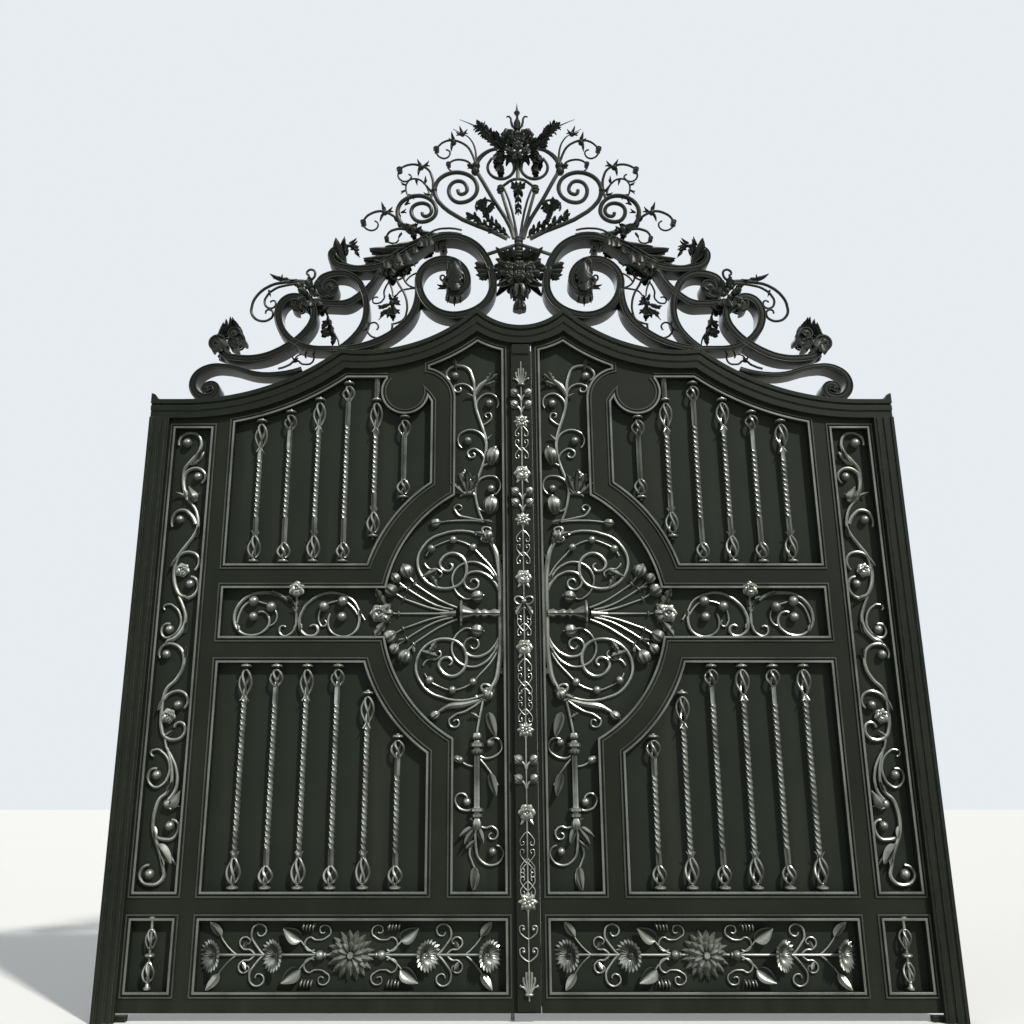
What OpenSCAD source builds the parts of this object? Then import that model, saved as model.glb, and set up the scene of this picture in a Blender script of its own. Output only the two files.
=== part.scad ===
// Double-leaf wrought iron driveway gate with a scrolled overthrow.
// The gate stands in the XZ plane, its street side faces -Y, and the leaves open towards +Y.
// All sizes are in millimetres. The origin is the middle of the left post's foot.

/* [Overall] */
// Width over both posts
gate_w = 3960; // [3700:10:4400]
// Height of the posts, which is the height of the header's level shoulders
post_h = 3012; // [2900:1:3200]
// Depth of the posts and the header
frame_d = 120; // [110:1:150]
// Face width of a post, rebate lip included
post_w = 100; // [90:1:130]
// Radius of the ears at the ends of the header
ear_r = 34; // [24:1:40]
// Height of the header, measured square to its curve
header_h = 100; // [90:1:120]
// Overlap of the rebate lip in front of a leaf
lip = 14; // [10:1:20]
// Gap between a leaf's edge and the fixed frame
edge_gap = 8; // [6:1:12]
// Gap between a leaf's face and the back of the lip
face_gap = 6; // [5:0.5:10]

/* [Header curve] */
// Distance from the middle at which a shoulder starts to rise
shoulder_x = 1806; // [1780:1:1820]
// Distance of the outer cusps from the middle
cusp_x = 979; // [940:1:1010]
// Height of the outer cusps over the shoulders
cusp_rise = 293; // [260:1:320]
// Distance of the flank arcs' lowest points from the middle
flank_x = 860; // [840:1:880]
// Height of the flank arcs' lowest points over the shoulders
flank_rise = 285; // [270:1:300]
// Distance of the two peaks from the middle
peak_x = 238; // [225:1:250]
// Height of the two peaks over the shoulders
peak_rise = 541; // [520:1:560]
// Height of the dip between the peaks over the shoulders
dip_rise = 435; // [420:1:450]

/* [Leaves] */
// Thickness of a leaf's frame
leaf_t = 40; // [36:1:50]
// Thickness of the backing sheet
sheet_t = 3; // [2:0.5:5]
// Clearance under the leaves
ground_gap = 38; // [30:1:60]
// Gap between the two leaves where they meet
meet_gap = 6.5; // [6.5:0.5:12]
// Half width of the meeting strip
strip_half = 52; // [46:1:56]
// How far the meeting strip stands proud of the leaf
strip_t = 24; // [16:1:30]
// Distance from the middle to the panels beside the meeting strip
inner_stile = 104; // [98:1:120]
// Width of the frame between the header and the panels below it, square to the curve
panel_margin = 145; // [135:1:155]
// Width of a leaf's hanging stile, from the lip to the side panel
hang_stile = 33; // [28:1:45]
// Width of the side panels
side_w = 192; // [170:1:210]
// Width of the bar between the side panel and the baluster panels
side_bar = 124; // [110:1:140]
// Distance of the baluster panels' inner edges from the middle
baluster_inner = 484; // [470:1:500]
// Distance of the vine panel's outer edge from the middle
vine_outer = 353; // [340:1:365]
// Height of the bottom panels' lower edge over the ground
floral_z = 126; // [110:1:140]
// Height of the bottom panels
floral_h = 302; // [280:1:320]
// Height of the lower panels' lower edge over the ground
lower_z = 553; // [540:1:570]
// Height of the lower baluster panel
lower_h = 1065; // [1040:1:1090]
// Height of the cross panel's lower edge over the ground
cross_z = 1750; // [1735:1:1765]
// Height of the cross panel
cross_h = 245; // [230:1:260]
// Height of the upper baluster panel's lower edge over the ground
upper_z = 2122; // [2105:1:2140]
// Distance from the shoulders down to the tops of the side panels
side_drop = 152; // [142:1:212]
// Height of the medallion's centre over the ground
medal_z = 1870; // [1860:1:1885]
// Radius of the medallion's opening
medal_r = 712; // [700:1:725]
// Radius to which the baluster panels are cut back round the medallion
medal_outer_r = 842; // [830:1:860]
// Height of the upper baluster panel's level top over the shoulders
upper_rise = 140; // [130:1:150]
// Radius of the upper baluster panel's inner corner
corner_r = 259; // [245:1:270]
// Height of the round bite's centre over the shoulders
bite_rise = 60; // [52:1:68]
// Radius of the round bite above the innermost upper baluster
bite_r = 130; // [122:1:136]

/* [Mouldings] */
// Width of the bead along the edge of each panel
bead_w = 10; // [8:1:14]
// Height of the bead over the leaf's face
bead_t = 9; // [5:1:14]
// Distance from a panel's edge to the outer side of its moulding
moulding_w = 27; // [24:1:32]
// Width of the rib at the outer side of a moulding
rib_w = 7; // [5:1:9]
// Height of the rib over the leaf's face
rib_t = 6; // [4:1:10]

/* [Balusters] */
// Number of balusters in each panel
baluster_count = 6; // [6:1:6]
// Distance between the balusters
baluster_pitch = 153; // [144:1:154]
// Distance from a panel's outer edge to its first baluster
baluster_margin = 141; // [130:1:150]
// Length left plain at each end of a bar with short baskets
plain_l = 90; // [60:5:110]
// Length of the plain bar that hangs the baluster beside the round bite
hanger_l = 112; // [90:1:130]
// Side of the square twisted bar
bar_a = 19; // [16:1:22]
// Height in which the bar makes a full turn
twist_pitch = 110; // [90:1:130]
// Diameter of the button at each end
button_d = 58; // [50:1:64]
// Height of a button
button_h = 26; // [22:1:32]
// Diameter of a basket
basket_d = 56; // [48:1:58]
// Thickness of a basket's wires
wire_d = 8; // [6:1:9]
// Diameter of the collars that bind a basket's wires
collar_d = 22; // [20:1:26]

/* [Scrollwork] */
// Thickness of the flat bands of the overthrow
band_t = 46; // [38:1:54]
// Width of the flat bands of the overthrow, front to back
band_w = 110; // [90:1:120]
// Diameter of the overthrow's stems
stem_d = 22; // [18:1:26]
// Diameter of the overthrow's fine stems
twig_d = 13; // [11:1:16]
// Thickness of the scrolls inside the leaves
scroll_d = 15; // [12:1:18]

/* [Hinges] */
// Diameter of the hinge barrels
barrel_d = 30; // [26:1:34]
// Diameter of the hinge pins
pin_d = 14; // [12:1:16]
// Clearance between a pin and its bore
pin_gap = 0.3; // [0.2:0.05:0.5]
// Height of one knuckle
knuckle_h = 60; // [50:1:80]
// Thickness of the straps on the leaves
strap_t = 8; // [6:1:10]

/* [Drop bolt] */
// Diameter of the drop bolt
bolt_d = 18; // [14:1:22]
// Length of the drop bolt
bolt_l = 620; // [500:1:800]
// Distance of the bolt from the back of the leaf
bolt_stand = 6; // [5:1:12]
// Clearance between the bolt and its guides
bolt_gap = 1; // [0.5:0.1:2]

/* [Hidden] */
seat = 0.3;
band_step = 11;
twig_step = 32;
half_w = gate_w / 2;
lip_x = half_w - post_w;
leaf_x = lip_x + lip;
jamb_x = leaf_x + edge_gap;
front_y = -frame_d / 2;
leaf_y = -15;
lip_back_y = leaf_y - face_gap;
back_y = leaf_y + leaf_t;
sheet_y = back_y + sheet_t;
baluster_y = back_y - 1 - basket_d / 2;
meet_x = strip_half + 2;
baluster_outer = lip_x - hang_stile - side_w - side_bar;
side_x0 = lip_x - hang_stile - side_w;
side_x1 = lip_x - hang_stile;
lower_top = lower_z + lower_h;
cross_top = cross_z + cross_h;
hinge_x = leaf_x + edge_gap / 2;
hinge_y = sheet_y + strap_t - 4 + barrel_d / 2;
hinge_z = [260, (post_h - 52) / 2, post_h - 452];
iron = [0.17, 0.19, 0.17];
pewter = [0.42, 0.44, 0.41];
sheet_grey = [0.26, 0.28, 0.27];
steel = [0.55, 0.56, 0.55];
vine_flowers = [512, 905, 1290, 1690, 2045, 2350, 2600, 2890];
medal_scale = medal_r / 712;
side_top = post_h - side_drop;
side_drawn = 2860;

// Places a shape drawn about the middle of the gate into the part's frame.
module placed() {
    translate([half_w - post_w / 2, 0, 0]) children();
}

// Draws a right-hand shape on the side that s gives: 1 is right, -1 is left.
module on_side(s) {
    placed() scale_x(s) children();
}

module scale_x(s) {
    if (s > 0) children();
    else mirror([1, 0, 0]) children();
}

// Stands a flat shape up in the gate's plane, from y0 to y1.
module upright(y0, y1) {
    translate([0, y1, 0]) rotate([90, 0, 0]) linear_extrude(y1 - y0) children();
}

// The header's curve: three hanging arcs on each side of the middle, shared by all that follows it.
shoulder_r = (pow(shoulder_x - cusp_x, 2) + pow(cusp_rise, 2)) / (2 * cusp_rise);
flank_r = (pow(flank_x - peak_x, 2) + pow(peak_rise - flank_rise, 2)) / (2 * (peak_rise - flank_rise));
dip_r = (pow(peak_x, 2) + pow(peak_rise - dip_rise, 2)) / (2 * (peak_rise - dip_rise));

// The space above the header's curve, with the curve lowered by d square to itself.
module above_curve(d) {
    for (s = [-1, 1]) {
        translate([s * shoulder_x, post_h + shoulder_r]) circle(shoulder_r + d, $fn = 180);
        translate([s * flank_x, post_h + flank_rise + flank_r]) circle(flank_r + d, $fn = 180);
        translate([s * (shoulder_x + half_w / 4) - half_w / 4, post_h - d])
            square([half_w / 2, peak_rise * 3]);
    }
    translate([0, post_h + dip_rise + dip_r]) circle(dip_r + d, $fn = 120);
}

// A strip that follows the curve, from d0 to d1 below it, between x0 and x1.
module curve_strip(d0, d1, x0, x1) {
    difference() {
        translate([x0, post_h - d1]) square([x1 - x0, peak_rise + d1]);
        above_curve(d0);
        difference() {
            translate([x0 - 1, 0]) square([x1 - x0 + 2, post_h + peak_rise]);
            above_curve(d1);
        }
    }
}

// Arc splines. A path is a list of [x, z, heading] stations, joined by pairs of tangent arcs.
function unit(a) = [cos(a), sin(a)];
function left_of(a) = [-sin(a), cos(a)];
function turn(a) = a - 360 * floor((a + 180) / 360);
function joint_reach(v, a, b) =
    let (t = a + b, k = 2 * (1 - a * b), q = v * t)
    k < 0.0001 ? (v * v) / (4 * (v * b)) : (-q + sqrt(q * q + k * (v * v))) / k;
function joint_point(p, q) =
    let (a = unit(p[2]), b = unit(q[2]), v = [q[0] - p[0], q[1] - p[1]], d = joint_reach(v, a, b))
    [(p[0] + q[0] + d * (a[0] - b[0])) / 2, (p[1] + q[1] + d * (a[1] - b[1])) / 2];

// The stations along one arc that leaves p along the heading h and ends at q.
function arc_stations(p, h, q, step) =
    let (v = q - p, delta = turn(atan2(v[1], v[0]) - h), n = max(1, ceil(2 * abs(delta) / step)))
    abs(delta) < 0.4 ? [[q[0], q[1], h + 2 * delta]]
    : let (r = norm(v) / (2 * sin(delta)))
    [for (i = [1 : n]) let (a = 2 * delta * i / n, c = p + r * (left_of(h) - left_of(h + a)))
        [c[0], c[1], h + a]];
function span_stations(p, q, step) =
    let (a = [p[0], p[1]], m = joint_point(p, q), v = m - a, h = 2 * atan2(v[1], v[0]) - p[2])
    concat(arc_stations(a, p[2], m, step), arc_stations(m, h, [q[0], q[1]], step));
function route(path, step) =
    concat([path[0]], [for (i = [0 : len(path) - 2]) each span_stations(path[i], path[i + 1], step)]);

// Headings for a list of [x, z] points, each from the circle through a point and its neighbours.
function aim(a, b) = atan2(b[1] - a[1], b[0] - a[0]);
function heading(p, i) = aim(p[i], p[i + 1]) - turn(aim(p[i - 1], p[i + 1]) - aim(p[i - 1], p[i]));
function smooth(p) =
    let (n = len(p) - 1)
    n == 1 ? [for (q = p) [q[0], q[1], aim(p[0], p[1])]]
    : [for (i = [0 : n]) [p[i][0], p[i][1], i == 0 ? 2 * aim(p[0], p[1]) - heading(p, 1)
        : i == n ? 2 * aim(p[n - 1], p[n]) - heading(p, n - 1) : heading(p, i)]];

// A bar along a path, w0 wide where it starts, w1 where it ends and wider by swell halfway.
module bar(path, w0, w1, swell = 0, step = band_step) {
    r = route(path, step);
    n = len(r) - 1;
    half = [for (i = [0 : n]) (w0 + (w1 - w0) * i / n + swell * sin(180 * i / n)) / 2];
    left = [for (i = [0 : n]) [r[i][0], r[i][1]] + half[i] * left_of(r[i][2])];
    right = [for (i = [n : -1 : 0]) [r[i][0], r[i][1]] - half[i] * left_of(r[i][2])];
    polygon(concat(left, right));
}

// Bars from a list of [points, start width, end width, swell], each grown by g.
module strokes(list, g = 0) {
    for (k = list) bar(smooth(k[0]), k[1] + 2 * g, k[2] + 2 * g, len(k) > 3 ? k[3] : 0, twig_step);
}

// Balls from a list of [x, z, diameter], their backs against the plane y.
module balls(list, y) {
    for (k = list) translate([k[0], y - k[2] / 2, k[1]]) sphere(d = k[2], $fn = 36);
}

// A flower seen from the front: a ring of petals round an eye.
module flower(x, z, r, petals) {
    translate([x, z]) {
        circle(r * 0.55, $fn = 36);
        for (i = [0 : petals - 1]) rotate(360 * i / petals)
            polygon([[r * 0.3, -r * 1.9 / petals], [r * 0.8, -r * 1.9 / petals], [r, 0], [r * 0.8, r * 1.9 / petals],
                [r * 0.3, r * 1.9 / petals]]);
    }
}

// A post: a stepped moulded section with a rebate for the leaf and a heel shoe at its foot.
module post(s) {
    on_side(s) color(iron) {
        linear_extrude(post_h - header_h - seat) polygon([
            [half_w, front_y], [half_w, -front_y], [jamb_x + 22, -front_y], [jamb_x + 22, back_y],
            [jamb_x, back_y], [jamb_x, lip_back_y], [lip_x, lip_back_y], [lip_x, front_y + 14],
            [lip_x + 14, front_y + 14], [lip_x + 14, front_y + 8], [lip_x + 30, front_y + 8],
            [lip_x + 34, front_y + 13], [lip_x + 44, front_y + 13], [lip_x + 48, front_y + 4],
            [half_w - 30, front_y + 4], [half_w - 26, front_y + 9], [half_w - 18, front_y + 9],
            [half_w - 14, front_y]]);
        translate([jamb_x - 66, leaf_y, 0]) cube([66 + edge_gap, leaf_t, ground_gap - 12]);
    }
}

// The header: moulded strips that follow the curve, one behind another, and an ear at each end.
module header() {
    placed() color(iron) {
        upright(front_y + 14, lip_back_y) curve_strip(0, header_h, -half_w, half_w);
        upright(lip_back_y, -front_y) {
            curve_strip(0, header_h - lip - edge_gap, -half_w, half_w);
            for (s = [-1, 1]) translate([s * (half_w + jamb_x) / 2 - (half_w - jamb_x) / 2, post_h - header_h])
                square([half_w - jamb_x, header_h]);
        }
        upright(front_y, front_y + 14) curve_strip(0, 22, -half_w, half_w);
        upright(front_y + 6, front_y + 14) curve_strip(34, 60, -half_w, half_w);
        for (s = [-1, 1]) upright(front_y, -front_y) intersection() {
            translate([s * half_w, post_h - 1]) circle(ear_r, $fn = 48);
            translate([s * (half_w - ear_r / 2) - ear_r / 2, post_h - 1]) square([ear_r, ear_r]);
        }
    }
}

// The leaf's outline up to the header, between x0 and x1.
module leaf_outline(x0, x1) {
    difference() {
        translate([x0, ground_gap]) square([x1 - x0, post_h + peak_rise - ground_gap]);
        above_curve(header_h - lip);
    }
}

// The panels of a leaf, each grown by d on all sides.
module side_panel(d) {
    translate([side_x0 - d, lower_z - d]) square([side_w + 2 * d, side_top - lower_z + 2 * d]);
}

module small_panel(d) {
    translate([side_x0 - d, floral_z - d]) square([side_w + 2 * d, floral_h + 2 * d]);
}

module floral_opening(d) {
    translate([inner_stile - d, floral_z - d])
        square([baluster_outer - inner_stile + 2 * d, floral_h + 2 * d]);
}

module lower_panel(d) {
    difference() {
        translate([baluster_inner - d, lower_z - d])
            square([baluster_outer - baluster_inner + 2 * d, lower_h + 2 * d]);
        translate([0, medal_z]) circle(medal_outer_r - d, $fn = 120);
    }
}

module upper_panel(d) {
    bite_x = baluster_x(baluster_count - 1);
    difference() {
        translate([baluster_inner - d, upper_z - d])
            square([baluster_outer - baluster_inner + 2 * d, post_h + upper_rise + 2 * d - upper_z]);
        above_curve(panel_margin - d);
        translate([0, medal_z]) circle(medal_outer_r - d, $fn = 120);
        translate([bite_x, post_h + bite_rise]) circle(bite_r - d, $fn = 96);
        difference() {
            translate([baluster_inner - d - 1, post_h - 8])
                square([bite_x - baluster_inner + d + 1, 2 * bite_r]);
            translate([baluster_inner + corner_r - 31, post_h - 122]) circle(corner_r + d, $fn = 120);
        }
        translate([bite_x - bite_r / 2, post_h + bite_rise + 76]) square([bite_r * 1.24, 200]);
    }
}

module medallion_opening(d) {
    corner_r = 183;
    corner_z = post_h + 18;
    difference() {
        translate([inner_stile - d, cross_z])
            square([vine_outer + 141 - inner_stile + 2 * d, post_h + peak_rise - cross_z]);
        above_curve(panel_margin - d);
        translate([vine_outer + d, cross_z]) square([200, corner_z - cross_z]);
        translate([vine_outer + corner_r, corner_z]) circle(corner_r - d, $fn = 96);
    }
    translate([inner_stile - d, lower_z - d])
        square([vine_outer - inner_stile + 2 * d, medal_z - lower_z]);
    intersection() {
        translate([0, medal_z]) circle(medal_r + d, $fn = 120);
        translate([inner_stile - d, medal_z - medal_r - d]) square([medal_r + d, 2 * (medal_r + d)]);
    }
    translate([inner_stile, cross_z - d])
        square([baluster_outer - inner_stile + d, cross_h + 2 * d]);
}

module panels(d) {
    side_panel(d);
    small_panel(d);
    floral_opening(d);
    lower_panel(d);
    upper_panel(d);
    medallion_opening(d);
}

function leaf_inner(s) = s < 0 ? -meet_x : meet_x + meet_gap;

module leaf_frame(s) {
    on_side(s) color(iron) upright(leaf_y, back_y) difference() {
        leaf_outline(leaf_inner(s), leaf_x);
        panels(0);
    }
}

module leaf_sheet(s) {
    on_side(s) color(sheet_grey) upright(back_y, sheet_y) leaf_outline(leaf_inner(s), leaf_x);
}

module leaf_mouldings(s) {
    on_side(s) color(pewter) {
        upright(leaf_y - bead_t, leaf_y) difference() {
            panels(bead_w);
            panels(0);
        }
        upright(leaf_y - rib_t, leaf_y) difference() {
            panels(moulding_w);
            panels(moulding_w - rib_w);
        }
    }
}

// A basket: four bowed wires between two collars, standing on z0.
module basket(z0, h) {
    sag = (basket_d - wire_d) / 2 - collar_d / 4;
    r = (h * h / 4 + sag * sag) / (2 * sag);
    half_angle = asin(h / 2 / r);
    for (a = [45 : 90 : 315])
        rotate([0, 0, a]) translate([collar_d / 4 + sag - r, 0, z0 + h / 2]) rotate([90, 0, 0])
            rotate([0, 0, -half_angle]) rotate_extrude(angle = 2 * half_angle, $fn = 96)
                translate([r, 0]) square(wire_d, center = true);
    for (z = [z0 - 5, z0 + h - 5])
        translate([0, 0, z]) cylinder(h = 10, d = collar_d, $fn = 24);
}

// A button: the domed cap at each end of a baluster, on a short neck.
module button(z, up) {
    translate([0, 0, z]) scale_z(up) {
        cylinder(h = button_h / 2, d = 20, $fn = 20);
        translate([0, 0, 6]) rotate_extrude($fn = 32)
            polygon([[0, 0], [button_d / 2 - 5, 0], [button_d / 2, 5], [button_d / 2 - 4, 10],
                [button_d / 4, 16], [0, 17]]);
        translate([0, 0, 20]) cylinder(h = button_h - 16, d = 16, $fn = 20);
    }
}

module scale_z(up) {
    if (up) children();
    else mirror([0, 0, 1]) children();
}

// A square bar twisted about its axis in steps of 80 degrees, between two plain ends.
module twisted_bar(z0, h, plain) {
    n = round((h - 2 * plain) / twist_pitch * 4.5);
    heights = concat([0], [for (i = [0 : n]) plain + (h - 2 * plain) * i / n], [h]);
    turns = concat([0], [for (i = [0 : n]) 80 * i], [80 * n]);
    corner = bar_a / sqrt(2);
    points = [for (i = [0 : n + 2], k = [0 : 3]) let (a = turns[i] + 90 * k)
        [corner * cos(a), corner * sin(a), z0 + heights[i]]];
    sides = [for (i = [0 : n + 1], k = [0 : 3]) let (a = 4 * i + k, b = 4 * i + (k + 1) % 4)
        each [[a, b + 4, b], [a, a + 4, b + 4]]];
    m = 4 * n + 8;
    polyhedron(points, concat([[0, 1, 2, 3]], sides, [[m + 3, m + 2, m + 1, m]]));
}

// A baluster between z0 and z1, with a longer basket at each end where long is set and the twist's hand.
module baluster(x, z0, z1, long, hand) {
    top_h = long ? 126 : 84;
    foot_h = long ? 116 : 80;
    foot_z = z0 + button_h + 8;
    head_z = z1 - button_h - 8 - top_h;
    twist_z0 = foot_z + foot_h + 4;
    twist_h = head_z - 4 - twist_z0;
    translate([x, baluster_y, 0]) {
        button(z0, true);
        button(z1, false);
        basket(foot_z, foot_h);
        basket(head_z, top_h);
        scale_x(hand) twisted_bar(twist_z0 - 1, twist_h + 2, long ? 12 : plain_l);
    }
}

function baluster_x(i) = baluster_outer - baluster_margin - i * baluster_pitch;
function curve_z(x, d) =
    min(post_h + shoulder_r - sqrt(pow(shoulder_r + d, 2) - pow(shoulder_x - x, 2)),
        post_h + flank_rise + flank_r - sqrt(pow(flank_r + d, 2) - pow(flank_x - x, 2)));
function medal_top(x) = x < medal_outer_r ? medal_z + sqrt(pow(medal_outer_r, 2) - pow(x, 2)) : 0;
function medal_bottom(x) =
    x < medal_outer_r ? medal_z - sqrt(pow(medal_outer_r, 2) - pow(x, 2)) : lower_top;

module upper_balusters(s) {
    on_side(s) color(pewter) for (i = [0 : baluster_count - 1]) {
        x = baluster_x(i);
        top = i == baluster_count - 1 ? post_h + bite_rise - bite_r
            : min(post_h + upper_rise, curve_z(x + button_d / 2, panel_margin));
        cap = i == baluster_count - 2 ? top - hanger_l : top;
        baluster(x, max(upper_z, medal_top(x - button_d / 2)) + seat, cap - seat, i % 2 == 0, -s);
        if (cap < top) translate([x - bar_a / 2, baluster_y - bar_a / 2, cap - seat - 1])
            cube([bar_a, bar_a, top - cap + 1]);
    }
}

module lower_balusters(s) {
    on_side(s) color(pewter) for (i = [0 : baluster_count - 1]) {
        x = baluster_x(i);
        baluster(x, lower_z + seat, min(lower_top, medal_bottom(x - button_d / 2)) - seat, i % 2 == 0, -s);
    }
}

module small_baluster(s) {
    on_side(s) color(pewter) translate([side_x0 + side_w / 2, baluster_y, 0]) {
        translate([0, 0, floral_z + seat]) cylinder(h = floral_h - 2 * seat, d = 16, $fn = 32);
        basket(floral_z + 40, 90);
        basket(floral_z + floral_h - 130, 90);
        translate([0, 0, floral_z + floral_h / 2 - 9]) cylinder(h = 18, d = 44, $fn = 32);
    }
}

// The overthrow. Its shapes are drawn from the middle of the gate, above the header's shoulders.
module crest(s, w) {
    on_side(s) color(iron) upright(-w / 2, w / 2) translate([0, post_h]) children();
}

// The header and all below it, raised by d, which cuts what stands on the header to its curve.
module header_mass(d) {
    difference() {
        translate([-half_w, -200]) square([gate_w, peak_rise + 210]);
        translate([0, -post_h]) above_curve(-d);
    }
}

// A band of the overthrow, grown by g, which thins towards its ends.
module band(path, g, end = 0.7) {
    bar(path, end * band_t + 2 * g, end * band_t + 2 * g, (1 - end) * band_t);
}

// The big spiral, from the curled end of its leafy arm to its eye, and the riser that meets it.
module spiral_shape(g = 0) {
    band([[1007, 915, 0], [1056, 871, 270], [888, 782, 180], [639, 862, 148], [391, 988, 180],
        [148, 687, 270], [366, 498, 0], [562, 702, 90], [421, 844, 180], [290, 712, 270],
        [351, 646, 0], [395, 682, 90]], g);
    band([[977, 298, 178], [749, 358, 152], [569, 578, 98], [565, 660, 90]], g);
}

// The two interlaced rings with their rolled eyes, the riser to the leafy arm and the long S under them.
module rings_shape(g = 0) {
    band([[1190, 560, 90], [1246, 612, 0], [1332, 508, 270], [1206, 322, 205], [987, 298, 180]], g);
    band([[1020, 672, 270], [1068, 620, 0], [1116, 677, 90], [1002, 754, 180], [846, 528, 270],
        [987, 298, 325]], g);
    band([[1637, 300, 250], [1483, 238, 180], [1225, 344, 140], [1136, 528, 80], [1146, 600, 100]], g);
    band([[1136, 586, 200], [987, 568, 180], [858, 643, 135], [768, 782, 118]], g);
}

module low_shape(g = 0) {
    band([[1704, 66, 90], [1672, 92, 180], [1638, 56, 270], [1694, 14, 0], [1768, 91, 90],
        [1632, 196, 183], [1364, 146, 178], [1186, 181, 158]], g, 0.5);
}

module volute_shape(g = 0) {
    bar([[66, 1000, 32], [396, 1179, 38], [488, 1319, 90], [336, 1444, 180], [236, 1344, 270],
        [341, 1249, 0], [403, 1329, 90], [336, 1391, 180], [296, 1344, 270], [331, 1302, 0],
        [351, 1334, 90]], stem_d + 2 * g, 14 + 2 * g);
    bar([[426, 1012, 12], [600, 1052, 10], [692, 1174, 90], [566, 1289, 180], [476, 1189, 270],
        [561, 1109, 0], [628, 1189, 90], [564, 1242, 180], [514, 1194, 270], [549, 1160, 0],
        [570, 1185, 90]], stem_d + 2 * g, 14 + 2 * g);
}

module hub_shape(g = 0) {
    for (m = [-1, 1]) scale_x(m)
        bar([[215, 870, 118], [0, 995, 180]], 20 + 2 * g, 20 + 2 * g);
    translate([-75, 985]) square([150, 30 + g]);
}

// Twigs that sprout from the bands and stems.
module ring_twigs(g = 0) {
    strokes([
        [[[1235, 712], [1335, 707], [1424, 657], [1474, 568], [1464, 498], [1414, 468], [1369, 498], [1384, 538],
            [1414, 518]], 16, 9],
        [[[1305, 712], [1384, 657], [1414, 598], [1404, 558], [1374, 543], [1350, 568], [1364, 593]], 12, 8],
        [[[1335, 707], [1215, 707], [1156, 717], [1136, 747], [1156, 776], [1186, 767]], 16, 9],
        [[[1146, 600], [1175, 668], [1250, 710]], 16, 12],
        [[[1120, 640], [1137, 618], [1175, 600]], 24, 10, 30],
        [[[1098, 578], [1060, 470], [1010, 410], [987, 355]], 12, 6, 14],
        [[[1225, 344], [1180, 300], [1130, 262], [1090, 285], [1112, 312]], 14, 8]], g);
}

module spiral_twigs(g = 0) {
    strokes([
        [[[570, 700], [600, 600], [640, 500], [669, 459], [709, 445], [732, 400], [769, 369], [818, 385],
            [833, 430], [788, 459], [770, 432]], 16, 9],
        [[[640, 520], [700, 545], [745, 590]], 10, 4, 34],
        [[[548, 640], [480, 560], [430, 520]], 8, 4, 26],
        [[[500, 962], [600, 930], [730, 905], [830, 860], [880, 800]], 10, 6, 60],
        [[[700, 880], [790, 930], [900, 905], [960, 935]], 16, 5, 26],
        [[[990, 905], [960, 940], [905, 948]], 14, 4, 16]], g);
}

module volute_twigs(g = 0) {
    strokes([
        [[[246, 1440], [252, 1540], [282, 1622], [326, 1649], [386, 1654], [456, 1619], [486, 1596]], 14, 10],
        [[[486, 1599], [470, 1552], [436, 1540], [408, 1562], [418, 1592]], 9, 7],
        [[[256, 1560], [262, 1630], [290, 1690], [386, 1734]], 10, 4, 14],
        [[[260, 1460], [286, 1516], [346, 1534], [396, 1509], [416, 1484], [400, 1454], [368, 1460]], 11, 7],
        [[[250, 1520], [216, 1572], [146, 1599], [54, 1612]], 12, 12],
        [[[488, 1290], [486, 1379], [516, 1459], [576, 1489], [646, 1490], [686, 1462]], 13, 9],
        [[[686, 1460], [691, 1419], [650, 1386], [614, 1410], [628, 1434]], 9, 7],
        [[[500, 1420], [530, 1490], [566, 1529]], 8, 3, 16],
        [[[600, 1284], [632, 1330], [628, 1378], [592, 1398], [556, 1386]], 11, 4, 6],
        [[[668, 1080], [696, 1109], [736, 1169], [786, 1192], [846, 1186], [880, 1130]], 13, 9],
        [[[884, 1126], [876, 1082], [836, 1066], [806, 1088], [812, 1112]], 9, 7],
        [[[640, 1066], [690, 1075], [740, 1052], [757, 1015], [732, 989], [698, 1004]], 12, 7]], g);
}

// Leaves and buds on the fan, above and beside the hub.
module fan_twigs(g = 0) {
    for (m = [-1, 1]) scale_x(m) strokes([
        [[[60, 1120], [120, 1150], [190, 1250]], 14, 4, 30],
        [[[60, 1110], [140, 1100], [215, 1140]], 14, 4, 26],
        [[[20, 1640], [96, 1662], [176, 1739], [240, 1772], [336, 1804]], 12, 4, 12],
        [[[0, 1640], [60, 1650], [120, 1622], [150, 1575]], 30, 4, 20]], g);
}

module spiral(s) {
    crest(s, band_w) difference() {
        spiral_shape();
        header_mass(seat);
    }
    crest(s, stem_d) difference() {
        spiral_twigs();
        spiral_shape(-1);
        header_mass(seat);
    }
}

module rings(s) {
    crest(s, band_w) difference() {
        rings_shape();
        spiral_shape(seat);
        header_mass(seat);
    }
    crest(s, stem_d) difference() {
        ring_twigs();
        rings_shape(-1);
        spiral_shape(seat);
        spiral_twigs(seat);
        header_mass(seat);
    }
}

module low_scroll(s) {
    crest(s, band_w) difference() {
        low_shape();
        rings_shape(seat);
        ring_twigs(seat);
        header_mass(seat);
    }
}

module volutes(s) {
    crest(s, stem_d) difference() {
        union() {
            volute_shape();
            volute_twigs();
        }
        spiral_shape(seat);
        spiral_twigs(seat);
        hub_shape(seat);
        fan_shape(seat);
        fan_twigs(seat);
    }
    on_side(s) color(pewter) translate([0, 0, post_h])
        balls([[486, 1596, 34], [688, 1462, 34], [882, 1128, 34]], 17);
}

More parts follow.
